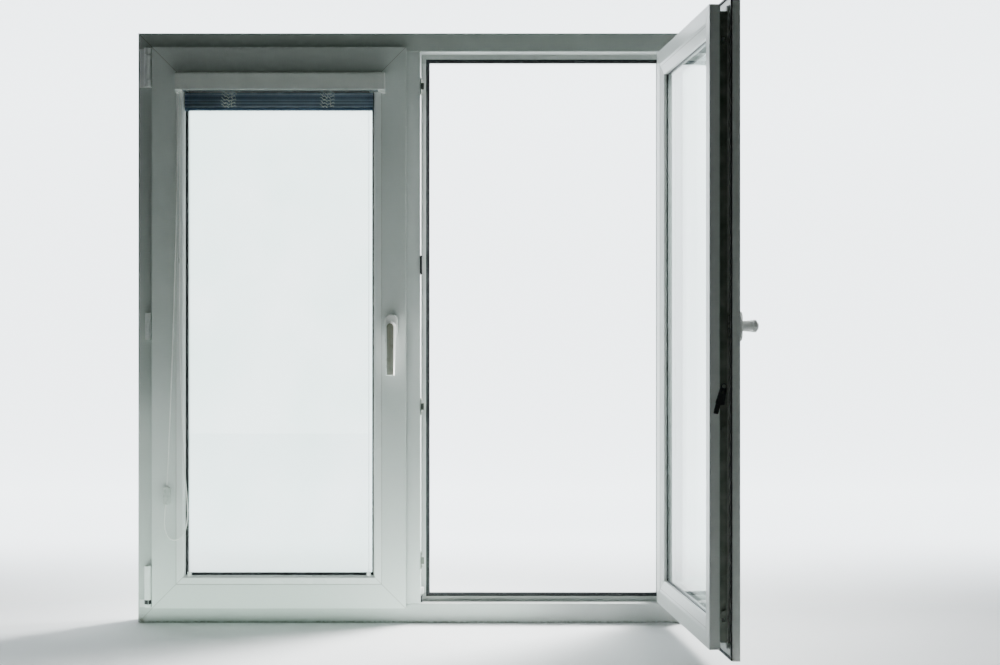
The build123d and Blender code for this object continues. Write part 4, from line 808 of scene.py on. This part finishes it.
# Ladder cords. Thin braided thread that carries the slats; on the pulled-up
# blind its slack hangs out before the stack in small tangled loops.
ladder_places = (-0.432, -0.199)
ladder_mm = 1.8
ladder_sides = 6
strings = 4
string_gap = 0.0078
loops_in_string = 4.6
more_loops = 0.3
string_steps = 150
loop_half, loop_uneven = 0.0052, 0.002
loop_deep, loop_deep_uneven = 0.003, 0.001
string_drift = 0.0025
loop_lift = 0.0022
ladder_edge = 0.001
ladder_front = 0.004
string_phase = 2.4
loop_seed = 4
braid_mm = 0.85
braid_deep_mm = 0.1

# Braided polyester: white with a cast of green, and dull.
braid, tree, surface, place = finish_of("ladder_thread", Roughness=0.9, IOR=1.5, Sheen_Weight=0.25)
fleck = add(tree, "ShaderNodeTexNoise", Vector=place, Scale=1000 / braid_mm, Detail=2.0)
white = add(tree, "ShaderNodeValToRGB", {"stops": ((0.3, "#dbe7e7"), (0.7, "#fbfdfc"))}, Fac=fleck)
relief = add(tree, "ShaderNodeBump", Height=fleck, Distance=braid_deep_mm / 1000)
fill(tree, surface, Base_Color=white, Normal=relief)

# Without a seed the noise is drawn by the clock, and the loops would differ in each run.
noise.seed_set(loop_seed)
low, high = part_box("blind_ladder_cords")
shape = bmesh.new()
for n, middle in enumerate(ladder_places):
    for string in range(strings):
        points = []
        turns = loops_in_string + more_loops * (string % 2)
        for i in range(string_steps + 1):
            t = i / string_steps
            # Smooth noise, read at a place of its own for each string.
            wobble = noise.noise_vector(Vector((3.1 * string + 7 * n, 6.0 * t, 2.7)))
            phase = 2 * math.pi * turns * t + string * string_phase
            x = middle + (string - (strings - 1) / 2) * string_gap
            x += (loop_half + loop_uneven * wobble.x) * math.sin(phase) + string_drift * wobble.y
            z = low.z + ladder_edge + (high.z - low.z - 2 * ladder_edge) * t
            z += loop_lift * math.sin(2 * phase + string)
            y = low.y + ladder_front + loop_deep * math.cos(phase) + loop_deep_uneven * wobble.z
            points.append(Vector((x, y, z)))
        tube_of(shape, points, ladder_mm / 2000, ladder_sides)
ladders = as_piece("ladder_loops", shape, braid)
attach(ladders, "left_sash")
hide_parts("blind_ladder_cords")


# Screws. Zinc-plated steel with a cross recess: two in each striker plate, and a
# row of smaller ones that hold the strips in the edges of the sashes.
head_mm = 3.4
head_high_mm = 1.0
head_profile = ((1.0, 0.0), (1.0, 0.35), (0.86, 0.8))
cross_taper = 0.75
recess_mm = 0.7
cross_mm = 2.0
cross_arm_mm = 0.45
quarter_turn = 1.57


def screw_pattern(name, shank_mm, long_mm, size=1.0):
    """A domed screw whose head stands on zero, with a cross sunk into it. Its shank is given as a radius."""
    shape = bmesh.new()
    arm, half = cross_mm * size, cross_arm_mm * size
    cross = [(arm, -half), (arm, half), (half, half), (half, arm), (-half, arm), (-half, half), (-arm, half),
             (-arm, -half), (-half, -half), (-half, -arm), (half, -arm), (half, -half)]
    outline = []
    for a, b in zip(cross, cross[1:] + cross[:1]):
        outline += [a, ((a[0] + b[0]) / 2, (a[1] + b[1]) / 2)]
    turns = [math.atan2(y, x) for x, y in outline]
    head, high = head_mm * size, head_high_mm * size

    def corners(points, z):
        return [shape.verts.new((x / 1000, y / 1000, z / 1000)) for x, y in points]

    def ring(radius, z):
        return corners([(radius * math.cos(turn), radius * math.sin(turn)) for turn in turns], z)

    def copy(scale, z):
        return corners([(x * scale, y * scale) for x, y in outline], z)

    rings = [ring(shank_mm, -long_mm), ring(shank_mm, 0.0)]
    rings += [ring(head * wide, high * up) for wide, up in head_profile]
    rings += [copy(1.0, high), copy(cross_taper, high - recess_mm * size)]
    join_rings(shape, rings)
    for end in (rings[0], rings[-1]):
        shape.faces.new(end)
    return pattern_piece(name, shape, shaded_zinc_coat, smooth=False)


screw_group, given = geometry_group("screw_row", (
    ("Geometry", "NodeSocketGeometry"), ("Screw", "NodeSocketObject"), ("Turn", "NodeSocketVector"),
    ("Seed", "NodeSocketInt"), ("Finish", "NodeSocketMaterial")))
part = add(screw_group, "GeometryNodeObjectInfo", Object=given["Screw"])
copies = add(screw_group, "GeometryNodeInstanceOnPoints", Points=given["Geometry"],
             Instance=part.outputs["Geometry"], Rotation=given["Turn"])
spin = add(screw_group, "FunctionNodeRandomValue", {"data_type": "FLOAT"}, _2=0.0, _3=quarter_turn,
           Seed=given["Seed"])
spun = add(screw_group, "GeometryNodeRotateInstances", Instances=copies,
           Rotation=add(screw_group, "ShaderNodeCombineXYZ", Z=spin.outputs[1]))
real = add(screw_group, "GeometryNodeRealizeInstances", Geometry=spun)
finished = add(screw_group, "GeometryNodeSetMaterial", Geometry=real, Material=given["Finish"])
add(screw_group, "NodeGroupOutput", _0=finished)

# Striker screws, above and below the middle of each striker plate.
keep_heights = (0.147, 0.513, 1.274)
keep_screw_gap = 0.015
keep_front = 0.023
keep_screw_y = -0.0155
keep_seed = 5
keep_screw = screw_pattern("keep_screw", shank_mm=2.0, long_mm=10.0)
heights = [z + end * keep_screw_gap for z in keep_heights for end in (-1, 1)]
both = bmesh.new()
for side in (-1, 1):
    row = grown("keep_screw_row", screw_group, {
        "Screw": keep_screw, "Turn": (0.0, side * math.pi / 2, 0.0), "Seed": keep_seed + side,
        "Finish": shaded_zinc_coat}, [(side * keep_front, keep_screw_y, z) for z in heights])
    both.from_mesh(row.data)
    bpy.data.objects.remove(row)
keep_screws = as_piece("keep_screws_crossed", both, shaded_zinc_coat, smooth=False)
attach(keep_screws, "frame")
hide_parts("keep_screws")

# Strip screws. Their shanks end in the strip, because the drive rod slides behind it.
strip_seat = 0.033
strip_seed = 8
strip_heights = (0.25, 0.42, 0.656, 0.748, 0.88, 1.06, 1.21, 1.298)
strip_screw = screw_pattern("strip_screw", shank_mm=1.7, long_mm=2.0, size=0.85)
for side, body, turn in ((-1, "left_sash", 0.0), (1, "right_sash", open_turn - math.pi)):
    points = [Vector((side * strip_seat, strip_y, z)) for z in strip_heights]
    if side > 0:
        points = [to_open @ point for point in points]
    row = grown("strip_screws_" + body, screw_group, {
        "Screw": strip_screw, "Turn": (0.0, math.pi / 2, turn), "Seed": strip_seed + side,
        "Finish": shaded_zinc_coat}, points)
    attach(row, body)


# Guide wires. Clear drawn nylon, stretched from the headrail to the clips on the
# bottom bead, so the blind stays near the glass.
tint_mm = 12.5
nylon, tree, surface, place = finish_of("drawn_nylon", Roughness=0.2, IOR=1.53, Transmission_Weight=0.6)
tint = add(tree, "ShaderNodeTexNoise", Vector=place, Scale=1000 / tint_mm)
clear = add(tree, "ShaderNodeValToRGB", {"stops": ((0.3, "#b9c4c6"), (0.7, "#d9e0e1"))}, Fac=tint)
fill(tree, surface, Base_Color=clear)
dress("blind_guide_wires", nylon)


# Studio. A pale sheet that runs up behind the window and glows like a bright
# sky, a dim room in front, and light thrown up from the sill before the frame.
floor_half = 7.0
floor_rows = (-floor_half, -1.0, 0.0, 1.0)
wall_far = 5.0
wall_high = 7.0
sweep_r = 2.0
sweep_steps = 16
sheet_drop = 0.0006
fibre_mm = 330
dim_floor_y = (-0.8, -0.5)
glow_y = (0.1, 1.6)
glow_power = 3.6

# Matt paper, painted a darker grey in front of the window than under and behind it, as shade of the dim room.
paper, tree, surface, place = finish_of("pale_paper", Roughness=0.9, Emission_Color=linear("#f3faff"))
fibre = add(tree, "ShaderNodeTexNoise", Vector=place, Scale=1000 / fibre_mm, Detail=2.0)
depth = add(tree, "ShaderNodeSeparateXYZ", Vector=place).outputs[1]
out_of_floor_shade = add(tree, "ShaderNodeMapRange", {"interpolation_type": "SMOOTHSTEP"}, Value=depth,
             From_Min=dim_floor_y[0], From_Max=dim_floor_y[1])
sheet = add(tree, "ShaderNodeValToRGB", {"stops": ((0.3, "#eff2f2"), (0.7, "#f3f5f5"))}, Fac=fibre)
# Painted shade: the floor before the window is drawn grey, as the dim room's shade.
shaded = add(tree, "ShaderNodeMix", {"data_type": "RGBA"}, _0=out_of_floor_shade, _6=linear("#a6aaa7"), _7=sheet)
glow = add(tree, "ShaderNodeMapRange", {"interpolation_type": "SMOOTHSTEP"}, Value=depth, From_Min=glow_y[0],
           From_Max=glow_y[1], To_Max=glow_power)
fill(tree, surface, Base_Color=shaded.outputs[2], Emission_Strength=glow)

profile = [(y, 0.0) for y in floor_rows + (wall_far - sweep_r,)]
for i in range(1, sweep_steps + 1):
    turn = math.pi / 2 * i / sweep_steps
    profile.append((wall_far - sweep_r + sweep_r * math.sin(turn), sweep_r - sweep_r * math.cos(turn)))
profile.append((wall_far, wall_high))
shape = bmesh.new()
rows = [[shape.verts.new((x, y, z - sheet_drop)) for y, z in profile] for x in (-floor_half, floor_half)]
for k in range(len(profile) - 1):
    shape.faces.new((rows[0][k], rows[1][k], rows[1][k + 1], rows[0][k + 1]))
backdrop = as_piece("backdrop", shape, paper)

# A dark board, out of the picture at the upper left, keeps the light off the corner there.
board_place = Matrix.Translation((-0.70, -0.30, 1.1))
board_size = Matrix.Diagonal((0.01, 0.5, 1.2, 1.0))
shape = bmesh.new()
bmesh.ops.create_cube(shape, size=1.0, matrix=board_place @ board_size)
black_card = finish_of("black_card", Roughness=0.9, Base_Color=linear("#1c1e1c"))[0]
board = as_piece("dark_board", shape, black_card, smooth=False)
board.visible_camera = False

# The room is dim, but what is seen past the sheet, also through glass, is as pale as the sheet.
world = bpy.data.worlds.new("room")
bpy.context.scene.world = world
world.use_nodes = True
tree = world.node_tree
dim = fill(tree, tree.nodes["Background"], Color=linear("#a9b8a6"), Strength=0.045)
ray = add(tree, "ShaderNodeLightPath")
seen = add(tree, "ShaderNodeMath", {"operation": "MAXIMUM"}, _0=ray.outputs["Is Camera Ray"],
           _1=ray.outputs["Is Transmission Ray"])
far = add(tree, "ShaderNodeBackground", Color=linear("#eef2f2"), Strength=4.5)
sky = add(tree, "ShaderNodeMixShader", _0=seen, _1=dim, _2=far)
fill(tree, tree.nodes["World Output"], Surface=sky)

# Each light: name, place, aim, width, height, watts, colour, and spread in degrees.
for name, place, aim, width, height, watts, tint, spread in (
    ("sill_light", (-0.28, -0.24, 0.004), (-0.28, -0.24, 1.0), 1.15, 0.34, 4.2, "#dbf5e8", 180),
    ("left_light", (-1.4, -0.35, 0.2), (0.0, -0.25, 0.3), 0.5, 0.4, 0.5, "#e6f7ee", 180),
    ("side_light", (-0.92, -0.165, 0.62), (-0.57, -0.1, 0.62), 0.05, 1.1, 0.5, "#eefaf4", 120),
    ("front_fill", (-0.35, -0.9, 1.75), (-0.35, 0.0, 1.34), 0.8, 0.3, 0.4, "#bccfcb", 180),
    ("top_light", (0.35, -0.3, 1.62), (0.35, -0.3, 0.0), 0.6, 0.4, 0.15, "#d5efe4", 180),
    ("sky_light", (2.2, 2.2, 2.6), (0.25, 0.0, 0.7), 1.6, 1.6, 50.0, "#ffffff", 40),
    ("reveal_light", (0.62, 0.35, 0.95), (0.02, -0.02, 0.62), 0.3, 0.9, 14.0, "#ffffff", 100),
):
    light = bpy.data.lights.new(name, "AREA")
    light.shape = "RECTANGLE"
    light.size = width
    light.size_y = height
    light.energy = watts
    light.spread = math.radians(spread)
    light.color = linear(tint)[:3]
    lamp = bpy.data.objects.new(name, light)
    lamp.location = place
    lamp.rotation_euler = (Vector(aim) - Vector(place)).to_track_quat("-Z", "Y").to_euler()
    lamp.visible_camera = False
    bpy.context.scene.collection.objects.link(lamp)
